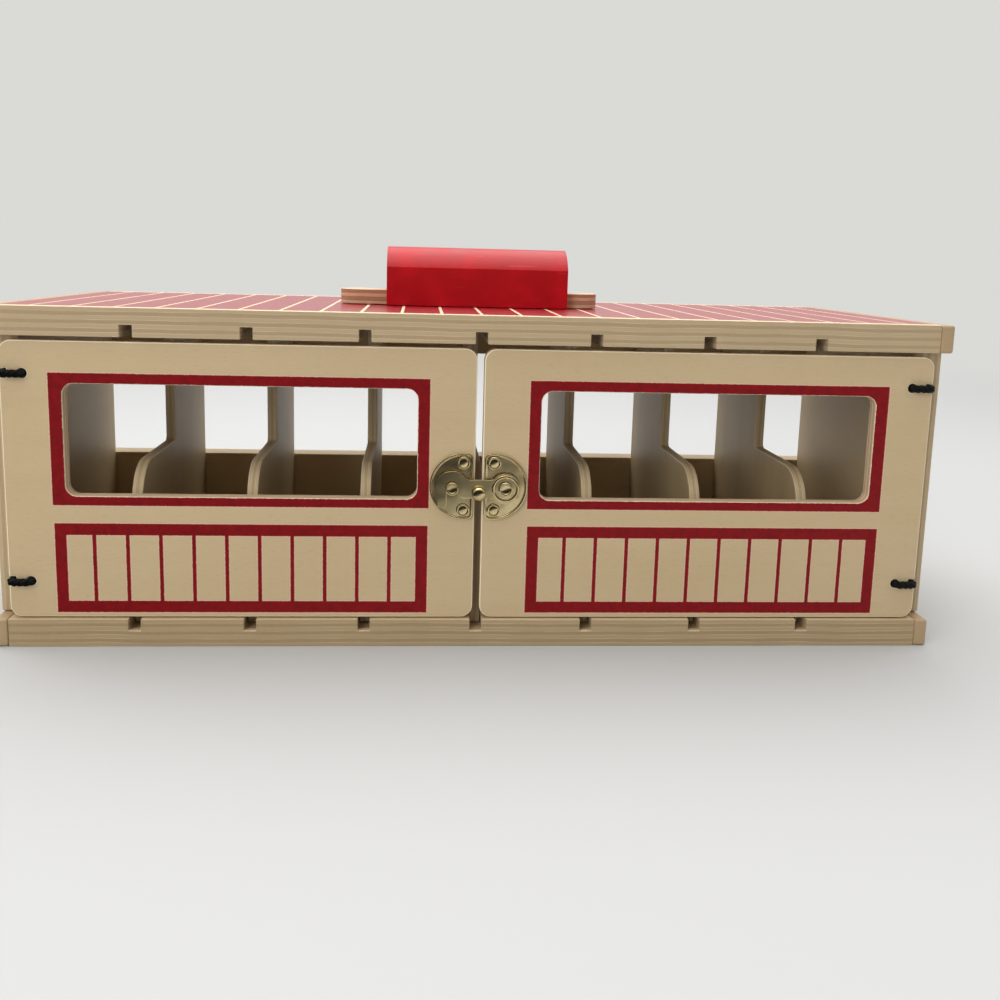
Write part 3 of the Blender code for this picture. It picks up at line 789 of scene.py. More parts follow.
@dataclass(frozen=True)
class Print:
    """The red print on a door: a frame round the window, and a panel of upright boards below it."""

    ink: Colour = (132, 2, 12)
    dark_share: float = 0.86
    mottling: Noise = Noise(420.0)
    mottle_range: tuple[float, float] = (0.3, 0.75)
    fringe: Colour = (226, 178, 160)
    fringe_share: float = 0.55
    fringe_range: tuple[float, float] = (0.0001, 0.00045)
    edge_range: tuple[float, float] = (-0.00012, 0.00008)
    window: tuple[float, float, float, float] = (0.0206, 0.1350, 0.0511, 0.0882)
    window_round: float = 0.0036
    frame_outer: tuple[float, float, float, float] = (0.0166, 0.1393, 0.0480, 0.0917)
    panel_outer: tuple[float, float, float, float] = (0.0168, 0.1391, 0.0115, 0.0420)
    panel_inner: tuple[float, float, float, float] = (0.0208, 0.1353, 0.0155, 0.0380)
    bar_pitch: float = 0.01075
    bar_width: float = 0.0013
    wobbles: Noise = Noise(1500.0, 2.0)
    wobble_size: float = 0.00035
    chips: Noise = Noise(900.0, 4.0, 0.7)
    chip_size: float = 0.0007
    chip_limit: float = 0.0002
    rim: float = 0.00005
    front_range: tuple[float, float] = (-0.75, -0.6)

    def distance(
        self, graph: Graph, x: Any, z: Any, box: Sequence[float], corner: float = 0.0
    ) -> bpy.types.NodeSocket:
        """Measures from a box of the print.

        Args:
            graph: The material's graph.
            x: The place across, counted from the middle of the object.
            z: The height.
            box: The box's sides: inner, outer, lower and upper.
            corner: The radius of its corners.

        Returns:
            How far a point lies outside the box, less than nothing inside.
        """
        left, right, low, high = box
        places = {"Across": x, "Up": z, "Middle": (left + right) / 2, "Centre": (low + high) / 2}
        places |= {"Wide": (right - left) / 2, "High": (high - low) / 2, "Round": corner}
        return graph.group("Rectangle", places).outputs[0]

    def without(self, graph: Graph, shape: Any, hole: Any) -> bpy.types.NodeSocket:
        """The distance from a shape with a hole in it."""
        return graph.math("MAXIMUM", shape, graph.math("MULTIPLY", hole, -1.0))

    def frame_away(self, graph: Graph, vector: Any, x: Any, z: Any, wobble: Any) -> bpy.types.NodeSocket:
        """Measures from the frame, which is chipped along the window.

        Args:
            graph: The material's graph.
            vector: Object coordinates.
            x: The place across, counted from the middle of the object.
            z: The height.
            wobble: The unevenness of the edges.

        Returns:
            How far a point lies outside the frame.
        """
        chips = graph.math("MULTIPLY", graph.noise(vector, self.chips), self.chip_size)
        chips = graph.math("MAXIMUM", graph.math("SUBTRACT", chips, self.chip_limit), self.rim)
        window = graph.math("SUBTRACT", self.distance(graph, x, z, self.window, self.window_round), chips)
        outer = graph.math("ADD", self.distance(graph, x, z, self.frame_outer), wobble)
        return self.without(graph, outer, window)

    def panel_away(self, graph: Graph, x: Any, z: Any, wobble: Any) -> bpy.types.NodeSocket:
        """Measures from the panel: a border, and the bars inside it.

        Args:
            graph: The material's graph.
            x: The place across, counted from the middle of the object.
            z: The height.
            wobble: The unevenness of the edges.

        Returns:
            How far a point lies outside the panel's lines.
        """
        middle = (self.panel_inner[0] + self.panel_inner[1]) / 2
        turns = graph.math("DIVIDE", graph.math("SUBTRACT", x, middle), self.bar_pitch)
        bar = graph.math("SUBTRACT", graph.off_repeat(turns, self.bar_pitch), self.bar_width / 2)
        bar = graph.math("ADD", bar, wobble)
        outer = graph.math("ADD", self.distance(graph, x, z, self.panel_outer), wobble)
        inner = graph.math("ADD", self.distance(graph, x, z, self.panel_inner), wobble)
        return self.without(graph, outer, self.without(graph, inner, bar))

    def lay(self, graph: Graph, vector: Any, places: Any, normals: Any, base: Any) -> tuple[Any, Any]:
        """Lays the print over the front.

        Args:
            graph: The material's graph.
            vector: Object coordinates.
            places: The same, by axis.
            normals: The normal, by axis.
            base: The bare colour.

        Returns:
            The printed colour and the mask of the ink.
        """
        x, z = graph.math("ABSOLUTE", places[0]), places[2]
        wobble = graph.wobble(vector, self.wobbles, self.wobble_size)
        frame = self.frame_away(graph, vector, x, z, wobble)
        away = graph.math("MINIMUM", frame, self.panel_away(graph, x, z, wobble))
        ink = graph.ramp(away, *self.edge_range, 1.0, 0.0)
        fringe = graph.ramp(away, *self.fringe_range, self.fringe_share, 0.0)
        mottle = graph.ramp(graph.noise(vector, self.mottling), *self.mottle_range)
        dark = tuple(int(channel * self.dark_share) for channel in self.ink)
        red = graph.mix(mottle, linear(self.ink), linear(dark))
        printed = graph.mix(ink, graph.mix(fringe, base, linear(self.fringe)), red)
        front = graph.ramp(normals[1], *self.front_range, 1.0, 0.0)
        return graph.mix(front, base, printed), graph.math("MULTIPLY", ink, front)


@dataclass(frozen=True)
class RoofPrint:
    """The roof's red print, with bare lines between its boards and a bare rim."""

    ink: Colour = (150, 6, 26)
    ink_dark: Colour = (134, 3, 18)
    mottling: Noise = Noise(160.0, 4.0, 0.6)
    mottle_range: tuple[float, float] = (0.3, 0.7)
    bare: Colour = (236, 214, 178)
    bare_share: float = 0.6
    pitch: float = 0.01315
    line_width: float = 0.0010
    half_depth: float = 0.0597
    edge: float = 0.0001
    wobbles: Noise = Noise(1300.0, 2.0)
    wobble_size: float = 0.0003
    top_range: tuple[float, float] = (0.7, 0.85)

    def lay(self, graph: Graph, vector: Any, places: Any, normals: Any, base: Any) -> tuple[Any, Any]:
        """Lays the print over the upper face.

        Args:
            graph: The material's graph.
            vector: Object coordinates.
            places: The same, by axis.
            normals: The normal, by axis.
            base: The bare colour.

        Returns:
            The printed colour and the mask of the ink.
        """
        wobble = graph.wobble(vector, self.wobbles, self.wobble_size)
        turns = graph.math("ADD", graph.math("DIVIDE", places[0], self.pitch), 0.5)
        off_line = graph.math("ADD", graph.off_repeat(turns, self.pitch), wobble)
        boards = graph.ramp(off_line, self.line_width / 2 - self.edge, self.line_width / 2 + self.edge)
        depth = graph.math("ADD", graph.math("ABSOLUTE", places[1]), wobble)
        inside = graph.ramp(depth, self.half_depth - self.edge, self.half_depth + self.edge, 1.0, 0.0)
        up = graph.ramp(normals[2], *self.top_range)
        ink = graph.math("MULTIPLY", graph.math("MULTIPLY", boards, inside), up)
        mottle = graph.ramp(graph.noise(vector, self.mottling), *self.mottle_range)
        red = graph.mix(mottle, linear(self.ink), linear(self.ink_dark))
        bare = graph.mix(graph.math("MULTIPLY", up, self.bare_share), base, linear(self.bare))
        return graph.mix(ink, bare, red), ink


@dataclass(frozen=True)
class Plywood:
    """Plywood that shows a veneer on its faces and its plies on its edges."""

    name: str
    through: Axis
    grain: Axis
    start: float
    thickness: float
    plies: int
    face: Colour = (202, 182, 148)
    face_dark: Colour = (186, 162, 124)
    long_ply: Colour = (186, 166, 133)
    cross_ply: Colour = (172, 150, 116)
    seam: Colour = (214, 196, 162)
    glue: Colour = (112, 86, 54)
    # The pale colour of the painted highlight on the rounded corners
    edge_highlight: Colour = (246, 234, 208)
    figure: float = 1.8
    pore_share: float = 0.16
    tone_share: float = 0.3
    speck_share: float = 0.3
    seams: Noise = Noise(60.0)
    seam_range: tuple[float, float] = (0.35, 0.65)
    seam_shares: tuple[float, float] = (0.12, 0.5)
    edge_range: tuple[float, float] = (0.5, 0.8)
    # How strongly the painted highlight shows on the rounded corners, and the facings where it fades in and
    # out
    edge_highlight_share: float = 0.35
    highlight_fade_in: tuple[float, float] = (0.3, 0.55)
    highlight_fade_out: tuple[float, float] = (0.93, 0.995)
    roughness: float = 0.5
    edge_roughness: float = 0.16
    glue_height: float = -0.5
    bump_depth: float = 0.00003
    bump_strength: float = 0.5
    specular: float = 0.5
    print_on: Print | RoofPrint | None = None
    ink_gloss: float = 0.0

    def veneer_colour(self, graph: Graph, figure: Any) -> bpy.types.NodeSocket:
        """The colour of the faces, with their pores."""
        veneer = graph.mix(figure["Tone"], linear(self.face_dark), linear(self.face))
        return graph.mix(graph.math("MULTIPLY", figure["Pores"], self.pore_share), veneer, linear(self.glue))

    def edge_colour(self, graph: Graph, turned: Any, figure: Any, stack: Any) -> bpy.types.NodeSocket:
        """Colours the edges: plies that run along or across, specks, and seams of glue.

        Args:
            graph: The material's graph.
            turned: Coordinates along the grain, across it and through the plies.
            figure: The outputs of the wood's figure.
            stack: The outputs of the plies.

        Returns:
            The colour.
        """
        edge = graph.mix(stack["Cross"], linear(self.long_ply), linear(self.cross_ply))
        edge = graph.mix(graph.math("MULTIPLY", figure["Tone"], self.tone_share), edge, linear(self.face))
        edge = graph.mix(graph.math("MULTIPLY", stack["Speck"], self.speck_share), edge, linear(self.glue))
        seam = graph.ramp(graph.noise(turned, self.seams), *self.seam_range, *self.seam_shares)
        return graph.mix(graph.math("MULTIPLY", stack["Glue"], seam), edge, linear(self.seam))

    def material(self) -> bpy.types.Material:
        """Builds the material: veneer, edges, a painted highlight on the rounded corners, and the print if
        there is one.

        Returns:
            The material.
        """
        made, graph = start_material(self.name, self.face)
        vector, normal = (graph.add("TexCoord").outputs[kind] for kind in ("Object", "Normal"))
        places = graph.add("SeparateXYZ", {0: vector}).outputs
        normals = graph.add("SeparateXYZ", {0: normal}).outputs
        cross = next(axis for axis in Axis if axis not in (self.through, self.grain))
        order = {0: places[self.grain.value], 1: places[cross.value], 2: places[self.through.value]}
        turned = graph.add("CombineXYZ", order).outputs[0]
        figure = graph.group("Wood figure", {"Vector": turned, "Strength": self.figure}).outputs
        depth = graph.math("SUBTRACT", places[self.through.value], self.start)
        stacked = {"Depth": depth, "Ply": self.thickness / self.plies, "Vector": turned}
        stack = graph.group("Ply stack", stacked).outputs
        facing = graph.math("ABSOLUTE", normals[self.through.value])
        is_edge = graph.ramp(facing, *self.edge_range, 1.0, 0.0)
        edge = self.edge_colour(graph, turned, figure, stack)
        colour = graph.mix(is_edge, self.veneer_colour(graph, figure), edge)
        # Painted highlight: the rounded corners between faces and edges are mixed toward a pale colour
        corner = graph.ramp(facing, *self.highlight_fade_out, 1.0, 0.0)
        corner = graph.math("MULTIPLY", graph.ramp(facing, *self.highlight_fade_in), corner)
        colour = graph.mix(graph.math("MULTIPLY", corner, self.edge_highlight_share), colour, linear(self.edge_highlight))
        rough = graph.math("MULTIPLY_ADD", is_edge, self.edge_roughness, self.roughness)
        if self.print_on:
            colour, ink = self.print_on.lay(graph, vector, places, normals, colour)
            rough = graph.math("MULTIPLY_ADD", ink, self.ink_gloss, rough)
        sunk = graph.math("MULTIPLY", is_edge, self.glue_height)
        height = graph.math("MULTIPLY_ADD", stack["Glue"], sunk, figure["Height"])
        shader = graph.surface(colour, rough, height, self.bump_depth, self.bump_strength)
        shader.inputs["Specular IOR Level"].default_value = self.specular
        return made


@dataclass(frozen=True)
class SolidWood:
    """A strip of solid pale wood."""

    name: str
    light: Colour = (182, 158, 124)
    dark: Colour = (158, 132, 98)
    pore: Colour = (120, 92, 60)
    pore_share: float = 0.3
    figure: float = 2.0
    roughness: float = 0.48
    dull: float = 0.12
    bump_depth: float = 0.00003
    bump_strength: float = 0.5

    def material(self) -> bpy.types.Material:
        """Builds the material, with the grain from front to back.

        Returns:
            The material.
        """
        made, graph = start_material(self.name, self.light)
        places = graph.add("SeparateXYZ", {0: graph.add("TexCoord").outputs["Object"]}).outputs
        turned = graph.add("CombineXYZ", {0: places[1], 1: places[0], 2: places[2]}).outputs[0]
        figure = graph.group("Wood figure", {"Vector": turned, "Strength": self.figure}).outputs
        colour = graph.mix(figure["Tone"], linear(self.dark), linear(self.light))
        pores = graph.math("MULTIPLY", figure["Pores"], self.pore_share)
        colour = graph.mix(pores, colour, linear(self.pore))
        rough = graph.math("MULTIPLY_ADD", figure["Tone"], self.dull, self.roughness)
        graph.surface(colour, rough, figure["Height"], self.bump_depth, self.bump_strength)
        return made


@dataclass(frozen=True)
class GlossPaint:
    """Thick red paint on wood, with handling marks."""

    name: str
    light: Colour = (186, 6, 22)
    dark: Colour = (164, 3, 14)
    scratch: Colour = (226, 96, 108)
    scratch_share: float = 0.35
    scratch_height: float = 0.6
    marks: float = 70.0
    peel: Noise = Noise(900.0, 3.0, 0.5)
    roughness: float = 0.4
    dull: float = 0.1
    specular: float = 0.3
    bump_depth: float = 0.00005
    bump_strength: float = 0.6

    def material(self) -> bpy.types.Material:
        """Builds the material.

        Returns:
            The material.
        """
        made, graph = start_material(self.name, self.light)
        vector = graph.add("TexCoord").outputs["Object"]
        marks = graph.group("Handling marks", {"Vector": vector, "Size": self.marks}).outputs
        colour = graph.mix(marks["Smudge"], linear(self.dark), linear(self.light))
        scratches = graph.math("MULTIPLY", marks["Scratch"], self.scratch_share)
        colour = graph.mix(scratches, colour, linear(self.scratch))
        sunk = graph.math("MULTIPLY", marks["Scratch"], self.scratch_height)
        height = graph.math("SUBTRACT", graph.noise(vector, self.peel), sunk)
        rough = graph.math("MULTIPLY_ADD", marks["Smudge"], self.dull, self.roughness)
        shader = graph.surface(colour, rough, height, self.bump_depth, self.bump_strength)
        shader.inputs["Specular IOR Level"].default_value = self.specular
        return made


@dataclass(frozen=True)
class Metal:
    """Plated metal with a fine grain, darker patches and an uneven press."""

    name: str
    bright: Colour
    dull: Colour
    roughness: float
    marks: float = 260.0
    specks: Noise = Noise(5200.0, 2.0, 0.7)
    smudge_share: float = 0.5
    speck_share: float = 0.3
    patch_roughness: float = 0.12
    grain_depth: float = 0.000003
    grain_strength: float = 0.5
    press: Noise = Noise(95.0, 1.0)
    press_depth: float = 0.0002

    def material(self) -> bpy.types.Material:
        """Builds the material.

        Returns:
            The material.
        """
        made, graph = start_material(self.name, self.bright)
        vector = graph.add("TexCoord").outputs["Object"]
        marks = graph.group("Handling marks", {"Vector": vector, "Size": self.marks}).outputs
        speck = graph.noise(vector, self.specks)
        specks = graph.math("MULTIPLY", speck, self.speck_share)
        patch = graph.math("MULTIPLY_ADD", marks["Smudge"], self.smudge_share, specks, clamp=True)
        colour = graph.mix(patch, linear(self.bright), linear(self.dull))
        rough = graph.math("MULTIPLY_ADD", patch, self.patch_roughness, self.roughness)
        uneven = graph.noise(vector, self.press)
        places = {"Height": uneven, "Distance": self.press_depth, "Strength": 1.0}
        pressed = graph.add("Bump", places).outputs[0]
        shader = graph.surface(colour, rough, speck, self.grain_depth, self.grain_strength, pressed)
        shader.inputs["Metallic"].default_value = 1.0
        return made


PALE_BRASS = Metal("Pale brass", bright=(232, 214, 166), dull=(176, 154, 108), roughness=0.13)
ZINC_PLATE = Metal("Zinc plate", bright=(186, 186, 184), dull=(132, 134, 136), roughness=0.3)


@dataclass(frozen=True)
class CordYarn:
    """Black twisted yarn with a soft sheen."""

    name: str
    dark: Colour = (3, 3, 4)
    light: Colour = (20, 19, 20)
    fibres: Noise = Noise((4200.0, 4200.0, 9000.0), 2.0)
    fibre_range: tuple[float, float] = (0.4, 0.75)
    roughness: float = 0.65
    dull: float = 0.2
    specular: float = 0.25
    bump_depth: float = 0.00012
    bump_strength: float = 0.8

    def material(self) -> bpy.types.Material:
        """Builds the material.

        Returns:
            The material.
        """
        made, graph = start_material(self.name, self.dark)
        fibre = graph.noise(graph.add("TexCoord").outputs["Object"], self.fibres)
        colour = graph.mix(graph.ramp(fibre, *self.fibre_range), linear(self.dark), linear(self.light))
        rough = graph.math("MULTIPLY_ADD", fibre, self.dull, self.roughness)
        shader = graph.surface(colour, rough, fibre, self.bump_depth, self.bump_strength)
        shader.inputs["Specular IOR Level"].default_value = self.specular
        return made


# The object


CORD_HEIGHTS = (0.0222, 0.0913)
CORD_HOLE_RADIUS = 0.00155
CORD_EDGE_X = 0.15365
CORD_DOOR_X = 0.1473


@dataclass
class Shell:
    """The base and the roof with their end strips, the side panels, and the panel and the rail behind."""

    groove_half: float = 0.002
    groove_depth: float = 0.004
    grooves: int = 7
    groove_pitch: float = 0.038
    glue_gap: float = 0.00027
    board_edge: Rounding = Rounding(0.0003)
    strip_edge: Rounding = Rounding(0.0009, 4)
    back_edge: Rounding = Rounding(0.0004, 3)
    wall_edge: Rounding = Rounding(0.0004)
    plies: int = 7
    # Painted shade: the base's plies are darker than the roof's, for the shade on the base's front edge
    shaded_base_plies: tuple[Colour, Colour] = ((164, 142, 108), (150, 128, 94))
    roof_plies: tuple[Colour, Colour] = ((176, 155, 123), (162, 140, 107))
    ink_gloss: float = -0.2
    cord_hole_depth: float = 0.0092

    def build(self) -> None:
        """Builds the boards, the strips on their ends and the walls between them."""
        strip_wood = SolidWood("End strip wood").material()
        self.build_board("base", False)
        self.build_board("roof", True)
        for level in ("base", "roof"):
            for side in ("left", "right"):
                node = f"{level}_end_strip_{side}"
                strip = block(f"{level}_strip_{side}", *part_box(node))
                finish_edges(strip, self.strip_edge)
                dress(strip, strip_wood, Slot.END_STRIP, Body.STABLE, node)
        for side, sign in (("left", -1), ("right", 1)):
            self.build_side(side, sign)
        for node in ("back_panel", "back_rail"):
            low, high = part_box(node)
            panel = block(node.replace("back", "rear"), low, high)
            finish_edges(panel, self.back_edge)
            name = f"Plywood of the {node.replace('_', ' ')}"
            wood = Plywood(name, Axis.Y, Axis.X, low[1], high[1] - low[1], self.plies)
            dress(panel, wood.material(), Slot.PLYWOOD, Body.STABLE, node)

    def build_board(self, level: str, is_roof: bool) -> None:
        """Builds the base or the roof: one board, grooved on the side that faces the stalls.

        Args:
            level: Which board.
            is_roof: Whether its grooves are cut from below, and its top is printed.
        """
        node = f"{level}_board"
        low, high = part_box(node)
        start, end = low[0] - self.glue_gap, high[0] + self.glue_gap
        board = block(f"{level}_plank", (start, *low[1:]), (end, *high[1:]))
        inner = low[2] if is_roof else high[2]
        bottom, top = inner - self.groove_depth, inner + self.groove_depth
        tools = []
        for number in range(self.grooves):
            x = (number - (self.grooves - 1) / 2) * self.groove_pitch
            front = (x - self.groove_half, low[1] - OVERRUN, bottom)
            tools.append(block("groove", front, (x + self.groove_half, high[1] + OVERRUN, top)))
        carve(board, *tools)
        finish_edges(board, self.board_edge)
        # The base takes its darker plies, which are painted shade
        long_ply, cross_ply = self.roof_plies if is_roof else self.shaded_base_plies
        wood = Plywood(
            f"{level.title()} plywood", Axis.Z, Axis.X, low[2], high[2] - low[2], self.plies,
            long_ply=long_ply, cross_ply=cross_ply,
            print_on=RoofPrint() if is_roof else None, ink_gloss=self.ink_gloss,
        )
        dress(board, wood.material(), Slot.ROOF if is_roof else Slot.PLYWOOD, Body.STABLE, node)

    def build_side(self, side: str, sign: int) -> None:
        """Builds a side panel with the holes for its cords.

        Args:
            side: Which side.
            sign: Its sign along X.
        """
        node = f"{side}_side_panel"
        low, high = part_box(node)
        panel = block(f"{side}_wall", low, high)
        for height in CORD_HEIGHTS:
            mouth = (sign * CORD_EDGE_X, low[1], height)
            carve(panel, rod("drill", mouth, CORD_HOLE_RADIUS, 2 * self.cord_hole_depth, SMALL_SIDES))
        finish_edges(panel, self.wall_edge)
        name = f"Plywood of the {side} wall"
        wood = Plywood(name, Axis.X, Axis.Y, low[0], high[0] - low[0], self.plies)
        dress(panel, wood.material(), Slot.PLYWOOD, Body.STABLE, node)


@dataclass
class Dividers:
    """The stall dividers: a low front with a round nose, and a post up to the roof."""

    count: int = 7
    plies: int = 3
    face: Colour = (180, 160, 124)
    face_dark: Colour = (160, 138, 102)
    shelf_height: float = 0.0603
    post_depth: float = 0.0537
    nose: Rounding = Rounding(0.014, 16)
    inner_corner: Rounding = Rounding(0.002, 6)
    edge: Rounding = Rounding(0.0004, 3)

    def build(self) -> None:
        """Models one divider and copies it into each pair of grooves."""
        low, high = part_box("stall_divider_1")
        pattern = self.build_pattern(low, high)
        for number in range(1, self.count + 1):
            node = f"stall_divider_{number}"
            start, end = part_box(node)
            take(pattern)
            bpy.ops.object.duplicate(linked=False)
            piece = named(f"divider_{number}")
            move_to(piece, (start[0] - low[0], 0, 0))
            wood = Plywood(
                f"Plywood of divider {number}", Axis.X, Axis.Z, start[0], end[0] - start[0], self.plies,
                face=self.face, face_dark=self.face_dark,
            )
            dress(piece, wood.material(), Slot.PLYWOOD, Body.STABLE, node)
        bpy.data.objects.remove(pattern)

    def build_pattern(self, low: Sequence[float], high: Sequence[float]) -> bpy.types.Object:
        """Models the first divider.

        Args:
            low: The lowest corner of its box.
            high: The highest corner.

        Returns:
            The divider that the others are copied from.
        """
        pattern = block("divider_pattern", low, high)
        post_front = high[1] - self.post_depth
        corner_low = (low[0] - OVERRUN, low[1] - OVERRUN, self.shelf_height)
        corner_high = (high[0] + OVERRUN, post_front, high[2] + OVERRUN)
        carve(pattern, block("corner", corner_low, corner_high))

        def is_nose(place: Vector) -> bool:
            """Whether an edge is the shelf's front one."""
            return place.y < low[1] + MM and abs(place.z - self.shelf_height) < MM

        def is_inner(place: Vector) -> bool:
            """Whether an edge is where the post rises from the shelf."""
            return abs(place.y - post_front) < MM / 2 and abs(place.z - self.shelf_height) < MM

        round_corners(pattern, Axis.X, self.nose, is_nose)
        round_corners(pattern, Axis.X, self.inner_corner, is_inner)
        finish_edges(pattern, self.edge)
        return pattern


@dataclass
class Handle:
    """The strip on the roof, the barrel-topped block astride it, and their screws."""

    crease_height: float = 0.014
    crown_steps: int = 28
    crown_share: float = 0.02
    slot_gap: float = 0.0003
    block_edge: Rounding = Rounding(0.0004)
    strip_edge: Rounding = Rounding(0.0005, 3)
    strip_end_share: float = 0.999
    strip_end_steps: int = 16
    strip_plies: int = 4
    strip_seam: Colour = (92, 54, 34)
    drill_length: float = 0.03
    screw_radius: float = 0.0015
    screw_gap: float = 0.0002
    screw_rim: float = 0.00015
    screw_point: float = 0.002
    tip_radius: float = 0.0001
    screw_edge: Rounding = Rounding(0.00006, 1)
    recess_halves: tuple[Place, Place] = ((0.002, 0.00025), (0.0005, 0.002))
    recess_depth: float = 0.0012

    def build(self) -> None:
        """Builds the strip, the block and the screws."""
        self.build_strip()
        self.build_block()
        self.build_screws()

    def build_strip(self) -> None:
        """Builds the round-ended strip of darker plywood."""
        low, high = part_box("handle_strip")
        strip = block("roof_strip", low, high)
        end = Rounding((high[1] - low[1]) / 2 * self.strip_end_share, self.strip_end_steps)
        round_corners(strip, Axis.Z, end, lambda place: True)
        hole = self.screw_radius + self.screw_gap
        for screw in self.screw_places():
            middle = (screw, 0, (low[2] + high[2]) / 2)
            carve(strip, rod("drill", middle, hole, self.drill_length, SMALL_SIDES, Axis.Z))
        finish_edges(strip, self.strip_edge)
        wood = Plywood(
            "Strip plywood", Axis.Z, Axis.X, low[2], high[2] - low[2], self.strip_plies,
            face=(214, 194, 158), face_dark=(196, 172, 134), long_ply=(196, 152, 122),
            cross_ply=(158, 100, 76), seam=self.strip_seam, glue=self.strip_seam,
        )
        dress(strip, wood.material(), Slot.PLYWOOD, Body.STABLE, "handle_strip")

    def build_block(self) -> None:
        """Builds the block: straight sides, drawn in step by step to its barrel top."""
        low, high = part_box("handle_block")
        crease = low[2] + self.crease_height
        grip = block("handle_grip", low, (high[0], high[1], crease))
        half = (high[1] - low[1]) / 2
        rise = high[2] - crease
        crown = (half * half + rise * rise) / (2 * rise)
        edit(grip, "FACE")
        pick_faces(grip, lambda face: face.normal.z > STRAIGHT_SHARE)
        width, height = half, crease
        for step in range(1, self.crown_steps + 1):
            share = step / self.crown_steps
            next_width = half * (cos(share * pi / 2) if step < self.crown_steps else self.crown_share)
            next_height = high[2] - crown + sqrt(crown * crown - next_width * next_width)
            bpy.ops.mesh.extrude_region_move(TRANSFORM_OT_translate={"value": (0, 0, next_height - height)})
            bpy.ops.transform.resize(value=(1, next_width / width, 1), center_override=(0, 0, next_height))
            width, height = next_width, next_height
        clear_selection()
        strip_low, strip_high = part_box("handle_strip")
        slot_low = (low[0] - OVERRUN, strip_low[1] - self.slot_gap, low[2] - OVERRUN)
        slot_high = (high[0] + OVERRUN, strip_high[1] + self.slot_gap, strip_high[2] + self.slot_gap)
        carve(grip, block("slot", slot_low, slot_high))
        finish_edges(grip, self.block_edge)
        dress(grip, GlossPaint("Red block paint").material(), Slot.RED_BLOCK, Body.STABLE, "handle_block")

    def screw_places(self) -> list[float]:
        """Where the screws stand across the object."""
        boxes = [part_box(f"handle_screw_{side}") for side in ("left", "right")]
        return [(low[0] + high[0]) / 2 for low, high in boxes]

    def build_screws(self) -> None:
        """Builds the countersunk screws with their cross recesses."""
        steel = ZINC_PLATE.material()
        for side, x in zip(("left", "right"), self.screw_places()):
            node = f"handle_screw_{side}"
            low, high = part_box(node)
            head, radius, length = (high[0] - low[0]) / 2, self.screw_radius, high[2] - low[2]
            profile = [(head, 0.0), (head, self.screw_rim), (radius, head - radius)]
            profile += [(radius, length - self.screw_point), (self.tip_radius, length)]
            screw = lathe(f"screw_{side}", profile, SMALL_SIDES)
            screw.rotation_euler = (-pi / 2, 0, 0)
            settle(screw)
            for wide, deep in self.recess_halves:
                carve(screw, block("recess", (-wide, -deep, -OVERRUN), (wide, deep, self.recess_depth)))
            finish_edges(screw, self.screw_edge)
            move_to(screw, (x, 0, low[2]))
            dress(screw, steel, Slot.STEEL, Body.STABLE, node)


@dataclass
class Door:
    """One door: a thin panel with a window, printed in front, drilled and notched for its cords."""

    side: str
    sign: int
    body: Body
    window_margin: float = 0.0194
    window_low: float = 0.0511
    window_high: float = 0.0882
    window_corner: Rounding = Rounding(0.0036, 12)
    corner: Rounding = Rounding(0.004, 10)
    edge: Rounding = Rounding(0.0005, 3)
    notch_floor_x: float = 0.1521
    notch_end_x: float = 0.160
    drill_length: float = 0.01
    plies: int = 5

    def build(self) -> None:
        """Builds and prints the panel."""
        node = f"{self.side}_door_panel"
        low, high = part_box(node)
        panel = block(f"{self.side}_door", low, high)
        round_corners(panel, Axis.Y, self.corner, lambda place: True)
        carve(panel, self.opening(low, high), *self.cord_cuts(low, high))
        finish_edges(panel, self.edge)
        wood = Plywood(
            f"Plywood of the {self.side} door", Axis.Y, Axis.X, low[1], high[1] - low[1], self.plies,
            long_ply=(214, 190, 158), cross_ply=(190, 160, 128), glue=(128, 100, 70), figure=1.0,
            # The doors' rounded edges carry a stronger painted highlight
            edge_highlight_share=0.8, specular=0.25, print_on=Print(),
        )
        dress(panel, wood.material(), Slot.PLYWOOD, self.body, node)

    def opening(self, low: Sequence[float], high: Sequence[float]) -> bpy.types.Object:
        """Makes the shape that cuts the window.

        Args:
            low: The panel's lowest corner.
            high: Its highest corner.

        Returns:
            The cutting shape, with round corners.
        """
        start = (low[0] + self.window_margin, low[1] - OVERRUN, self.window_low)
        opening = block("opening", start, (high[0] - self.window_margin, high[1] + OVERRUN, self.window_high))
        round_corners(opening, Axis.Y, self.window_corner, lambda place: True)
        return opening

    def cord_cuts(self, low: Sequence[float], high: Sequence[float]) -> list[bpy.types.Object]:
        """Makes the shapes that cut a hole and a notch for each cord.

        Args:
            low: The panel's lowest corner.
            high: Its highest corner.

        Returns:
            The cutting shapes.
        """
        cuts = []
        radius, middle = CORD_HOLE_RADIUS, (low[1] + high[1]) / 2
        inner, outer = sorted((self.sign * self.notch_floor_x, self.sign * self.notch_end_x))
        for height in CORD_HEIGHTS:
            hole = (self.sign * CORD_DOOR_X, middle, height)
            cuts.append(rod("hole", hole, radius, self.drill_length, SMALL_SIDES))
            start = (inner, low[1] - OVERRUN, height - radius)
            cuts.append(block("notch", start, (outer, high[1] + OVERRUN, height + radius)))
        return cuts


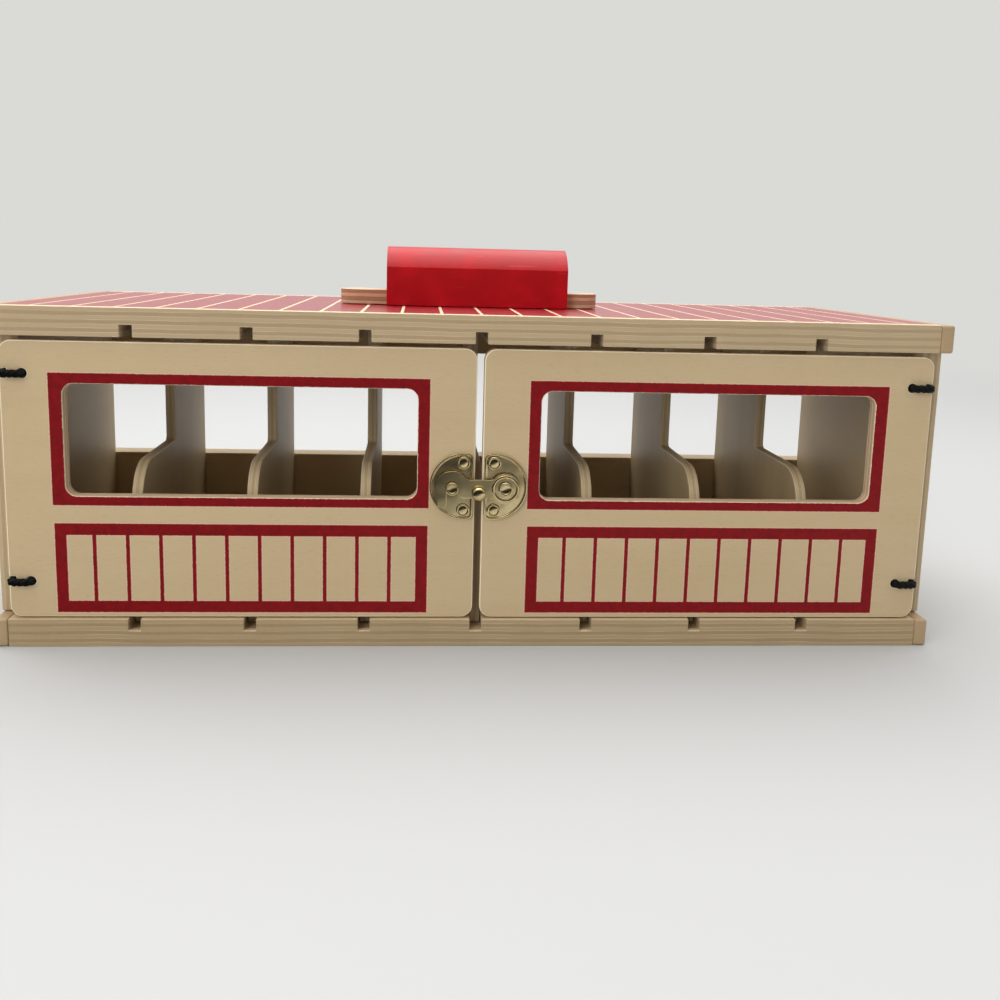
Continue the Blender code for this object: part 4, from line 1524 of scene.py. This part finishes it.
@dataclass
class HingeCord:
    """A cord hinge: out of the side panel, round the door's notched edge, over its face and into its hole."""

    side: str
    sign: int
    body: Body
    level: str
    height: float
    yarn: bpy.types.Material
    cord_radius: float = 0.00135
    strands: int = 3
    strand_share: float = 0.56
    lay: float = 0.0056
    spacing: float = 0.00025
    face_y: float = -0.06365
    bend: float = 0.0017
    bend_steps: int = 8
    door_back: float = -0.0569
    tuck: float = 0.0005
    wall_front: float = -0.0557
    wall_end: float = -0.0468
    bending_margin: float = 0.0004
    knot_middle: float = -0.0549
    knot_radius: float = 0.00085
    knot_lobe: float = 0.0004
    knot_depth: float = 0.00075
    knot_steps: int = 72

    def route(self) -> list[Place]:
        """Lays the cord's middle line.

        Returns:
            Its places across and in depth, from the wall to the back of its hole in the door.
        """
        points = [(CORD_EDGE_X, self.wall_end), (CORD_EDGE_X, self.face_y + self.bend)]
        points += self.quarter(CORD_EDGE_X - self.bend, 0.0, pi / 2)
        points += self.quarter(CORD_DOOR_X + self.bend, pi / 2, pi)
        return points + [(CORD_DOOR_X, self.face_y + self.bend), (CORD_DOOR_X, self.door_back - self.tuck)]

    def quarter(self, x: float, start: float, end: float) -> list[Place]:
        """Bends the middle line about a centre behind the door's face.

        Args:
            x: The centre's place across.
            start: The first angle.
            end: The last angle.

        Returns:
            The places between the two angles.
        """
        steps = self.bend_steps
        angles = [start + (end - start) * step / steps for step in range(1, steps)]
        centre = self.face_y + self.bend
        return [(x + self.bend * cos(angle), centre - self.bend * sin(angle)) for angle in angles]

    def twist(self, route: Sequence[Place]) -> list[list[Point]]:
        """Lays the strands round a route.

        Args:
            route: The middle line, as places across and in depth.

        Returns:
            The points of each strand.
        """
        line: list[tuple[Place, Place, float]] = []
        gone = 0.0
        for (x0, y0), (x1, y1) in zip(route, route[1:]):
            length = hypot(x1 - x0, y1 - y0)
            along = ((x1 - x0) / length, (y1 - y0) / length)
            steps = max(1, round(length / self.spacing))
            for step in range(steps):
                share = step / steps
                line.append(((x0 + (x1 - x0) * share, y0 + (y1 - y0) * share), along, gone + length * share))
            gone += length
        offset = self.cord_radius * (1 - self.strand_share)
        strands = []
        for number in range(self.strands):
            points = []
            for (x, y), (along_x, along_y), run in line:
                angle = 2 * pi * (run / self.lay + number / self.strands)
                out, up = offset * cos(angle), offset * sin(angle)
                points.append((self.sign * (x - along_y * out), y + along_x * out, self.height + up))
            strands.append(points)
        return strands

    def build(self) -> None:
        """Builds the cord, which bends at the hinge, and the knot behind the door."""
        strand = self.cord_radius * self.strand_share
        cord = tube(f"{self.side}_cord_{self.level}", self.twist(self.route()), strand)
        cord.data.materials.append(self.yarn)
        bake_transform(cord)
        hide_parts(f"{self.side}_hinge_cord_{self.level}", f"{self.side}_cord_anchor_{self.level}")
        neck = self.twist([(CORD_DOOR_X, self.door_back - self.tuck), (CORD_DOOR_X, self.knot_middle)])
        knot = tube(f"{self.side}_knot_{self.level}", neck + [self.knot()], strand)
        dress(knot, self.yarn, Slot.CORD, self.body)
        log.info("made %s for the cord and its anchor", cord.name)

    def knot(self) -> list[Point]:
        """Ties a small three-lobed knot behind the door.

        Returns:
            Its points, in a closed run.
        """
        points = []
        for step in range(self.knot_steps + 1):
            turn = 2 * pi * step / self.knot_steps
            radius = self.knot_radius + self.knot_lobe * cos(3 * turn)
            x = self.sign * (CORD_DOOR_X + radius * cos(2 * turn))
            depth = self.knot_middle + self.knot_depth * sin(3 * turn)
            points.append((x, depth, self.height + radius * sin(2 * turn)))
        return points


@dataclass
class Latch:
    """The pressed plates with their nails, the post, the pivot rivet, the hook arm and its knob."""

    brass: bpy.types.Material
    flat_x: float = 0.0019
    plate_centre_x: float = 0.0051
    plate_radius: float = 0.0113
    plate_height: float = 0.0558
    corner_round: float = 0.002
    plate_steps: int = 96
    fine_steps: int = 12
    rim_width: float = 0.0006
    rim_slope: float = 0.0002
    rim_rise: float = 0.0003
    plate_hole: float = 0.0016
    plate_edge: Rounding = Rounding(0.00017, 4)
    least_face: float = 1e-5
    drill_length: float = 0.01
    lip: float = 0.00042
    lip_share: float = 0.8
    lip_turn: float = radians(15)
    lip_rings: int = 10
    dome_turn: float = radians(10)
    dome_rings: int = 9
    lips_to_inner: float = 1.75
    lips_to_foot: float = 0.25
    nail_seat: float = 0.0005
    nail_tip: float = 0.0003
    nail_shank: float = 0.0008
    nail_dome: float = 0.00024
    rivet_seat: float = 0.0009
    rivet_hollow: float = 0.0005
    post_shank: float = 0.0014
    rivet_shank: float = 0.0013
    collar_radius: float = 0.0021
    collar_back: float = 0.0007
    collar_front: float = 0.0002
    pivot_x: float = 0.00895
    pivot_height: float = 0.0554
    arm_back: float = -0.0638
    arm_face: float = -0.0645
    arm_edge: Rounding = Rounding(0.00016, 3)
    arm_hole: float = 0.0015
    knob_hole: float = 0.0012
    arm_drill_length: float = 0.004
    lobe_radius: float = 0.0052
    lobe_steps: int = 72
    bar_above: float = 0.003
    bar_below: float = 0.0034
    hook_radius: float = 0.0057
    hook_rise: float = 0.0002
    slot_radius: float = 0.0018
    tail_drop: float = 0.0053
    tail_radius: float = 0.0015
    tail_steps: int = 24
    neck_radius: float = 0.002
    ridge_radius: float = 0.0041
    ridge_half: float = 0.0006
    ridge_flat: float = 0.67
    ridge_steps: int = 20
    mouth_width: float = 0.0014
    mouth_height: float = 0.001
    knob_drop: float = 0.0015
    knob_shank: float = 0.001
    knob_neck: float = 0.0015
    knob_dome: float = 0.0024
    knob_brim_share: float = 0.9
    knob_level_shares: tuple[float, float, float] = (0.82, 0.74, 0.6)
    knob_fullness: float = 0.8
    knob_steps: int = 10

    def build(self) -> None:
        """Builds both plates, all that is fixed to them, and the hook."""
        for name, sign, body in (("keeper", -1, Body.LEFT_DOOR), ("pivot", 1, Body.RIGHT_DOOR)):
            self.build_plate(name, sign, body)
        self.build_rivet("keeper_post", [], Body.LEFT_DOOR, self.post_shank)
        self.build_rivet("pivot_rivet", self.collar(), Body.RIGHT_DOOR, self.rivet_shank)
        self.build_arm()
        self.build_knob()

    def plate_outline(self, sign: int) -> list[Place]:
        """Draws a plate: a round side, and a flat side with round corners along the gap.

        Args:
            sign: The plate's sign along X.

        Returns:
            Its outline.
        """
        corner = self.corner_round
        corner_x = self.flat_x + corner
        rise = sqrt((self.plate_radius - corner) ** 2 - (self.plate_centre_x - corner_x) ** 2)
        turn = atan2(rise, corner_x - self.plate_centre_x)
        outline = arc((self.plate_centre_x, 0), self.plate_radius, -turn, turn, self.plate_steps)
        outline += arc((corner_x, rise), corner, turn, pi, self.fine_steps)[1:]
        outline += arc((corner_x, -rise), corner, pi, 2 * pi - turn, self.fine_steps)[:-1]
        return [(sign * x, self.plate_height + z) for x, z in outline]

    def build_plate(self, name: str, sign: int, body: Body) -> None:
        """Builds a plate, pressed in inside its rim, and its nails.

        Args:
            name: The plate's name.
            sign: Its sign along X.
            body: The body that carries it.
        """
        node = f"{name}_plate"
        low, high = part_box(node)
        plate = draw(f"{name}_disc", self.plate_outline(sign), high[1], low[1])
        edit(plate, "FACE")
        pick_faces(plate, lambda face: -face.normal.y > STRAIGHT_SHARE and face.calc_area() > self.least_face)
        bpy.ops.mesh.inset(thickness=self.rim_width, depth=0)
        bpy.ops.mesh.inset(thickness=self.rim_slope, depth=-self.rim_rise)
        clear_selection()
        pivot = (sign * self.pivot_x, high[1], self.pivot_height)
        carve(plate, rod("hole", pivot, self.plate_hole, self.drill_length, HOLE_SIDES))
        finish_edges(plate, self.plate_edge)
        dress(plate, self.brass, Slot.BRASS, body, node)
        for level in ("lower", "upper"):
            self.build_nail(f"{name}_nail_{level}", body)

    def head(self, radius: float, seat: float, middle: float) -> list[Place]:
        """Rings a low head whose top is at nothing.

        Args:
            radius: Its radius.
            seat: How far below its top it ends.
            middle: The depth of the hollow inside its rounded lip, less than nothing for a dome.

        Returns:
            The radius and height of each ring.
        """
        lip = min(self.lip, seat * self.lip_share)
        around = [step * self.lip_turn for step in range(self.lip_rings)]
        rise = [step * self.dome_turn for step in range(self.dome_rings)]
        rings = [(radius, -seat)] + [(radius - lip + lip * cos(a), lip * sin(a) - lip) for a in around]
        inner = radius - self.lips_to_inner * lip
        foot = min(middle, 0.0) - self.lips_to_foot * lip
        return rings + [(inner * cos(a), foot - middle * sin(a)) for a in rise]

    def set_in(self, node: str, stem: list[Place], head: list[Place], body: Body, sides: int) -> None:
        """Turns a nail or rivet and sets it in its place.

        Args:
            node: The node that it stands for.
            stem: The rings of its stem.
            head: The rings of its head.
            body: The body that carries it.
            sides: How many faces it has round.
        """
        low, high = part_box(node)
        piece = lathe(node + "_piece", stem + head, sides)
        bpy.ops.object.shade_smooth_by_angle(angle=SMOOTH_ANGLE)
        move_to(piece, ((high[0] + low[0]) / 2, low[1], (high[2] + low[2]) / 2))
        dress(piece, self.brass, Slot.BRASS, body, node)

    def build_nail(self, node: str, body: Body) -> None:
        """Builds a nail with a domed head.

        Args:
            node: The node that it stands for.
            body: The body that carries it.
        """
        low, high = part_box(node)
        end, shank = low[1] - high[1], self.nail_shank
        stem = [(self.nail_tip, end), (shank, end + shank), (shank, -self.nail_seat)]
        head = self.head((high[0] - low[0]) / 2, self.nail_seat, -self.nail_dome)
        self.set_in(node, stem, head, body, HOLE_SIDES)

    def build_rivet(self, node: str, collar: list[Place], body: Body, shank: float) -> None:
        """Builds the post or the pivot rivet.

        Args:
            node: The node that it stands for.
            collar: The rings of its collar, if it has one.
            body: The body that carries it.
            shank: The radius of its stem.
        """
        low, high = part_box(node)
        stem = [(shank, low[1] - high[1]), *collar, (shank, -self.rivet_seat)]
        head = self.head((high[0] - low[0]) / 2, self.rivet_seat, self.rivet_hollow)
        self.set_in(node, stem, head, body, ROUND_SIDES)

    def collar(self) -> list[Place]:
        """Rings the pivot rivet's collar, which keeps the arm off the plate.

        Returns:
            The radius and height of each ring.
        """
        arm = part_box("pivot_rivet")[0][1] - self.arm_back
        back, front = arm - self.collar_back, arm - self.collar_front
        shank, wide = self.rivet_shank, self.collar_radius
        return [(shank, back), (wide, back), (wide, front), (shank, front)]

    def neck(self, lobe: Place, radius: float, level: float, toward: int) -> tuple[Place, float]:
        """Finds the fillet where a round lobe runs into the straight bar.

        Args:
            lobe: The lobe's centre.
            radius: Its radius.
            level: The height of the bar's edge.
            toward: The side that the bar is on.

        Returns:
            The fillet's centre, and its angle from the lobe.
        """
        height = level + (1 if level > 0 else -1) * self.neck_radius
        across = sqrt((radius + self.neck_radius) ** 2 - (height - lobe[1]) ** 2)
        centre = (lobe[0] + toward * across, height)
        return centre, atan2(centre[1] - lobe[1], centre[0] - lobe[0])

    def arm_outline(self) -> list[Place]:
        """Draws the hook arm about its pivot: round lobe, bar, hook lobe, tail, slot and mouth.

        Returns:
            Its outline.
        """
        reach, fine = 2 * self.pivot_x, self.fine_steps
        pivot, hook = (0.0, 0.0), (-reach, self.hook_rise)
        over, over_angle = self.neck(pivot, self.lobe_radius, self.bar_above, -1)
        under, under_angle = self.neck(pivot, self.lobe_radius, -self.bar_below, -1)
        hooked, hook_angle = self.neck(hook, self.hook_radius, self.bar_above, 1)
        tail = (-reach - self.slot_radius - self.tail_radius, -self.tail_drop)
        to_tail = (tail[0] - hook[0], tail[1] - hook[1])
        flank = atan2(to_tail[1], to_tail[0]) + 2 * pi
        flank -= acos((self.hook_radius - self.tail_radius) / hypot(*to_tail))
        outline = arc(pivot, self.lobe_radius, under_angle, over_angle, self.lobe_steps)
        outline += arc(over, self.neck_radius, over_angle - pi, -pi / 2, fine)[1:]
        outline += arc(hooked, self.neck_radius, -pi / 2, hook_angle - pi, fine)
        outline += arc(hook, self.hook_radius, hook_angle, flank, self.lobe_steps)[1:]
        outline += arc(tail, self.tail_radius, flank, 2 * pi, self.tail_steps)
        outline += arc((-reach, 0), self.slot_radius, pi, 0, self.tail_steps)
        mouth, below = self.slot_radius - reach, -self.bar_below
        outline.append((mouth + self.mouth_height / 2, self.mouth_height + below))
        outline.append((mouth + self.mouth_width, below))
        outline += arc(under, self.neck_radius, pi / 2, under_angle + pi, fine)[:-1]
        return [(self.pivot_x + x, self.pivot_height + z) for x, z in outline]

    def build_arm(self) -> None:
        """Builds the hook arm, with the ridge that is pressed round its pivot."""
        back, face = self.arm_back, self.arm_face
        x, middle, z = self.pivot_x, (back + face) / 2, self.pivot_height
        arm = draw("hook_arm", self.arm_outline(), back, face)
        length = self.arm_drill_length
        pivot = rod("hole", (x, middle, z), self.arm_hole, length, HOLE_SIDES)
        carve(arm, pivot, rod("hole", (0, middle, z - self.knob_drop), self.knob_hole, length, HOLE_SIDES))
        finish_edges(arm, self.arm_edge)
        bpy.ops.mesh.primitive_torus_add(
            major_radius=self.ridge_radius, minor_radius=self.ridge_half, major_segments=self.plate_steps,
            minor_segments=self.ridge_steps, location=(x, face, z), rotation=(pi / 2, 0, 0),
        )
        ridge = named("ridge")
        ridge.scale = (1, 1, self.ridge_flat)
        settle(ridge)
        bpy.ops.object.shade_smooth()
        take(arm, ridge)
        bpy.ops.object.join()
        dress(arm, self.brass, Slot.BRASS, Body.HOOK, "latch_arm")

    def build_knob(self) -> None:
        """Builds the domed knob in the middle of the arm."""
        low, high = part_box("latch_knob")
        radius, x, z = (high[0] - low[0]) / 2, (high[0] + low[0]) / 2, (high[2] + low[2]) / 2
        dome, shank, neck = self.knob_dome, self.knob_shank, self.knob_neck
        under, brim, side = (-share * dome for share in self.knob_level_shares)
        rings = [(shank, low[1] - high[1]), (shank, -dome), (neck, -dome), (neck, under)]
        rings.append((self.knob_brim_share * radius, brim))
        for step in range(self.knob_steps):
            angle = pi / 2 * step / self.knob_steps
            rings.append((radius * cos(angle) ** self.knob_fullness, side * (1 - sin(angle))))
        knob = lathe("hook_knob", rings)
        bpy.ops.object.shade_smooth_by_angle(angle=SMOOTH_ANGLE)
        move_to(knob, (x, low[1], z))
        dress(knob, self.brass, Slot.BRASS, Body.HOOK, "latch_knob")


# The studio


@dataclass(frozen=True)
class Lamp:
    """A square soft lamp that faces the object. Shiny pieces may mirror it or not."""

    name: str
    place: Point
    size: float
    power: float
    mirrored: bool
    colour: Point = (1.0, 0.985, 0.955)

    def build(self) -> None:
        """Hangs the lamp."""
        data = bpy.data.lights.new(self.name, "AREA")
        data.size = self.size
        data.energy = self.power
        data.color = self.colour
        lamp = bpy.data.objects.new(self.name, data)
        lamp.location = self.place
        lamp.visible_glossy = self.mirrored
        lamp.rotation_euler = Vector(self.place).to_track_quat("Z", "Y").to_euler()
        bpy.context.scene.collection.objects.link(lamp)


@dataclass
class Studio:
    """A pale floor under a pale sky, soft lamps, and the camera."""

    floor_radius: float = 7.0
    floor_sides: int = 96
    floor_colour: Colour = (185, 186, 187)
    sky_colour: Colour = (218, 218, 215)
    light_colour: tuple[float, float, float, float] = (1.0, 0.99, 0.97, 1.0)
    fade_range: tuple[float, float] = (0.35, 1.3)
    dark_range: tuple[float, float] = (-0.34, -0.18)
    dark_lean: float = 1.6
    gloss_rise: float = 0.9
    gloss_range: tuple[float, float] = (-0.35, 0.25)
    gloss_in_front: float = 0.04
    gloss_behind: float = 1.15
    light_range: tuple[float, float] = (-0.6, 0.6)
    light_in_front: float = 0.34
    light_behind: float = 0.82
    camera_place: Point = (-0.020236, -0.400753, 0.131614)
    camera_turn: Point = (-0.0733, -0.1611, 0.0259)
    camera_nearest: float = 0.01
    film_width: float = 36.0
    lens: float = 37.2167
    shift: Place = (0.00621, -0.07429)
    lamps: tuple[Lamp, ...] = (
        Lamp("Overhead softbox", (-0.1, 0.25, 1.2), 1.6, 24.0, True),
        Lamp("Front softbox", (-0.8, -1.1, 0.6), 0.9, 9.4, False),
        Lamp("Right softbox", (1.1, -0.5, 0.5), 0.8, 1.2, False),
    )

    def build(self) -> None:
        """Builds the floor, the world, the lamps and the camera."""
        self.build_floor()
        self.build_world()
        for lamp in self.lamps:
            lamp.build()
        self.build_camera()

    def build_floor(self) -> None:
        """Lays the floor, which fades into the sky far off and is dark to gloss in front."""
        clear_selection()
        bpy.ops.mesh.primitive_circle_add(
            vertices=self.floor_sides, radius=self.floor_radius, fill_type="NGON"
        )
        floor = named("floor")
        made, graph = start_material("Pale floor", self.floor_colour)
        vector = graph.add("TexCoord").outputs["Object"]
        seen = graph.add("LightPath").outputs
        away = graph.add("VectorMath", {0: vector}, operation="LENGTH").outputs["Value"]
        sight = graph.math("MAXIMUM", seen["Is Glossy Ray"], seen["Is Transmission Ray"])
        sight = graph.math("MAXIMUM", seen["Is Camera Ray"], sight)
        share = graph.math("MULTIPLY", graph.ramp(away, *self.fade_range), sight)
        diffuse = graph.add("BsdfDiffuse", {"Color": linear(self.floor_colour)}).outputs[0]
        mixed = graph.add("MixShader", {0: share, 1: diffuse, 2: self.sky_glow(graph, 1.0)}).outputs[0]
        parts = graph.add("SeparateXYZ", {0: vector}).outputs
        leaning = graph.math("MULTIPLY_ADD", parts[0], self.dark_lean, parts[1])
        dark = graph.ramp(leaning, *self.dark_range, 1.0, 0.0)
        mirrored = graph.math("MULTIPLY", dark, seen["Is Glossy Ray"])
        shade = self.sky_glow(graph, self.gloss_in_front)
        mixed = graph.add("MixShader", {0: mirrored, 1: mixed, 2: shade}).outputs[0]
        graph.tree.links.new(mixed, graph.tree.nodes["Material Output"].inputs[0])
        floor.data.materials.append(made)

    def sky_glow(self, graph: Graph, strength: float) -> bpy.types.NodeSocket:
        """A surface that glows in the sky's colour."""
        return graph.add("Emission", {"Color": linear(self.sky_colour), "Strength": strength}).outputs[0]

    def build_world(self) -> None:
        """Makes a sky that the camera and gloss see as the backdrop, and that lights softly."""
        world = bpy.data.worlds.new("Pale room")
        bpy.context.scene.world = world
        world.use_nodes = True
        graph = Graph(world.node_tree)
        parts = graph.add("SeparateXYZ", {0: graph.add("TexCoord").outputs["Generated"]}).outputs
        behind = graph.math("MULTIPLY_ADD", parts[2], self.gloss_rise, parts[1])
        gloss = graph.ramp(behind, *self.gloss_range, self.gloss_in_front, self.gloss_behind)
        around = graph.ramp(parts[1], *self.light_range, self.light_in_front, self.light_behind)
        shown = graph.add("Background", {0: linear(self.sky_colour), 1: 1.0}).outputs[0]
        light = graph.add("Background", {0: self.light_colour, 1: around}).outputs[0]
        mirrored = graph.add("Background", {0: linear(self.sky_colour), 1: gloss}).outputs[0]
        seen = graph.add("LightPath").outputs
        sight = graph.math("MAXIMUM", seen["Is Camera Ray"], seen["Is Transmission Ray"])
        unseen = graph.add("MixShader", {0: seen["Is Glossy Ray"], 1: light, 2: mirrored}).outputs[0]
        mixed = graph.add("MixShader", {0: sight, 1: unseen, 2: shown}).outputs[0]
        graph.tree.links.new(mixed, graph.tree.nodes["World Output"].inputs[0])

    def build_camera(self) -> None:
        """Sets the camera where the photograph was taken from."""
        data = bpy.data.cameras.new("Camera")
        data.sensor_width = self.film_width
        data.lens = self.lens
        data.shift_x, data.shift_y = self.shift
        data.clip_start = self.camera_nearest
        camera = bpy.data.objects.new("Camera", data)
        yaw, pitch, roll = self.camera_turn
        turn = Matrix.Rotation(yaw, 4, "Z") @ Matrix.Rotation(pi / 2 + pitch, 4, "X")
        turn @= Matrix.Rotation(roll, 4, "Z")
        camera.matrix_world = Matrix.Translation(self.camera_place) @ turn
        bpy.context.scene.collection.objects.link(camera)
        bpy.context.scene.camera = camera
        bpy.context.scene.view_settings.view_transform = "Standard"


def main() -> None:
    """Builds the studio and every part of the stable."""
    logging.basicConfig(level=logging.INFO, format="%(name)s: %(message)s")
    make_groups()
    Studio().build()
    Shell().build()
    Dividers().build()
    Handle().build()
    yarn = CordYarn("Black yarn").material()
    for side, sign, body in (("left", -1, Body.LEFT_DOOR), ("right", 1, Body.RIGHT_DOOR)):
        Door(side, sign, body).build()
        for level, height in zip(("lower", "upper"), CORD_HEIGHTS):
            HingeCord(side, sign, body, level, height, yarn).build()
    Latch(PALE_BRASS.material()).build()


if __name__ == "__main__":
    main()
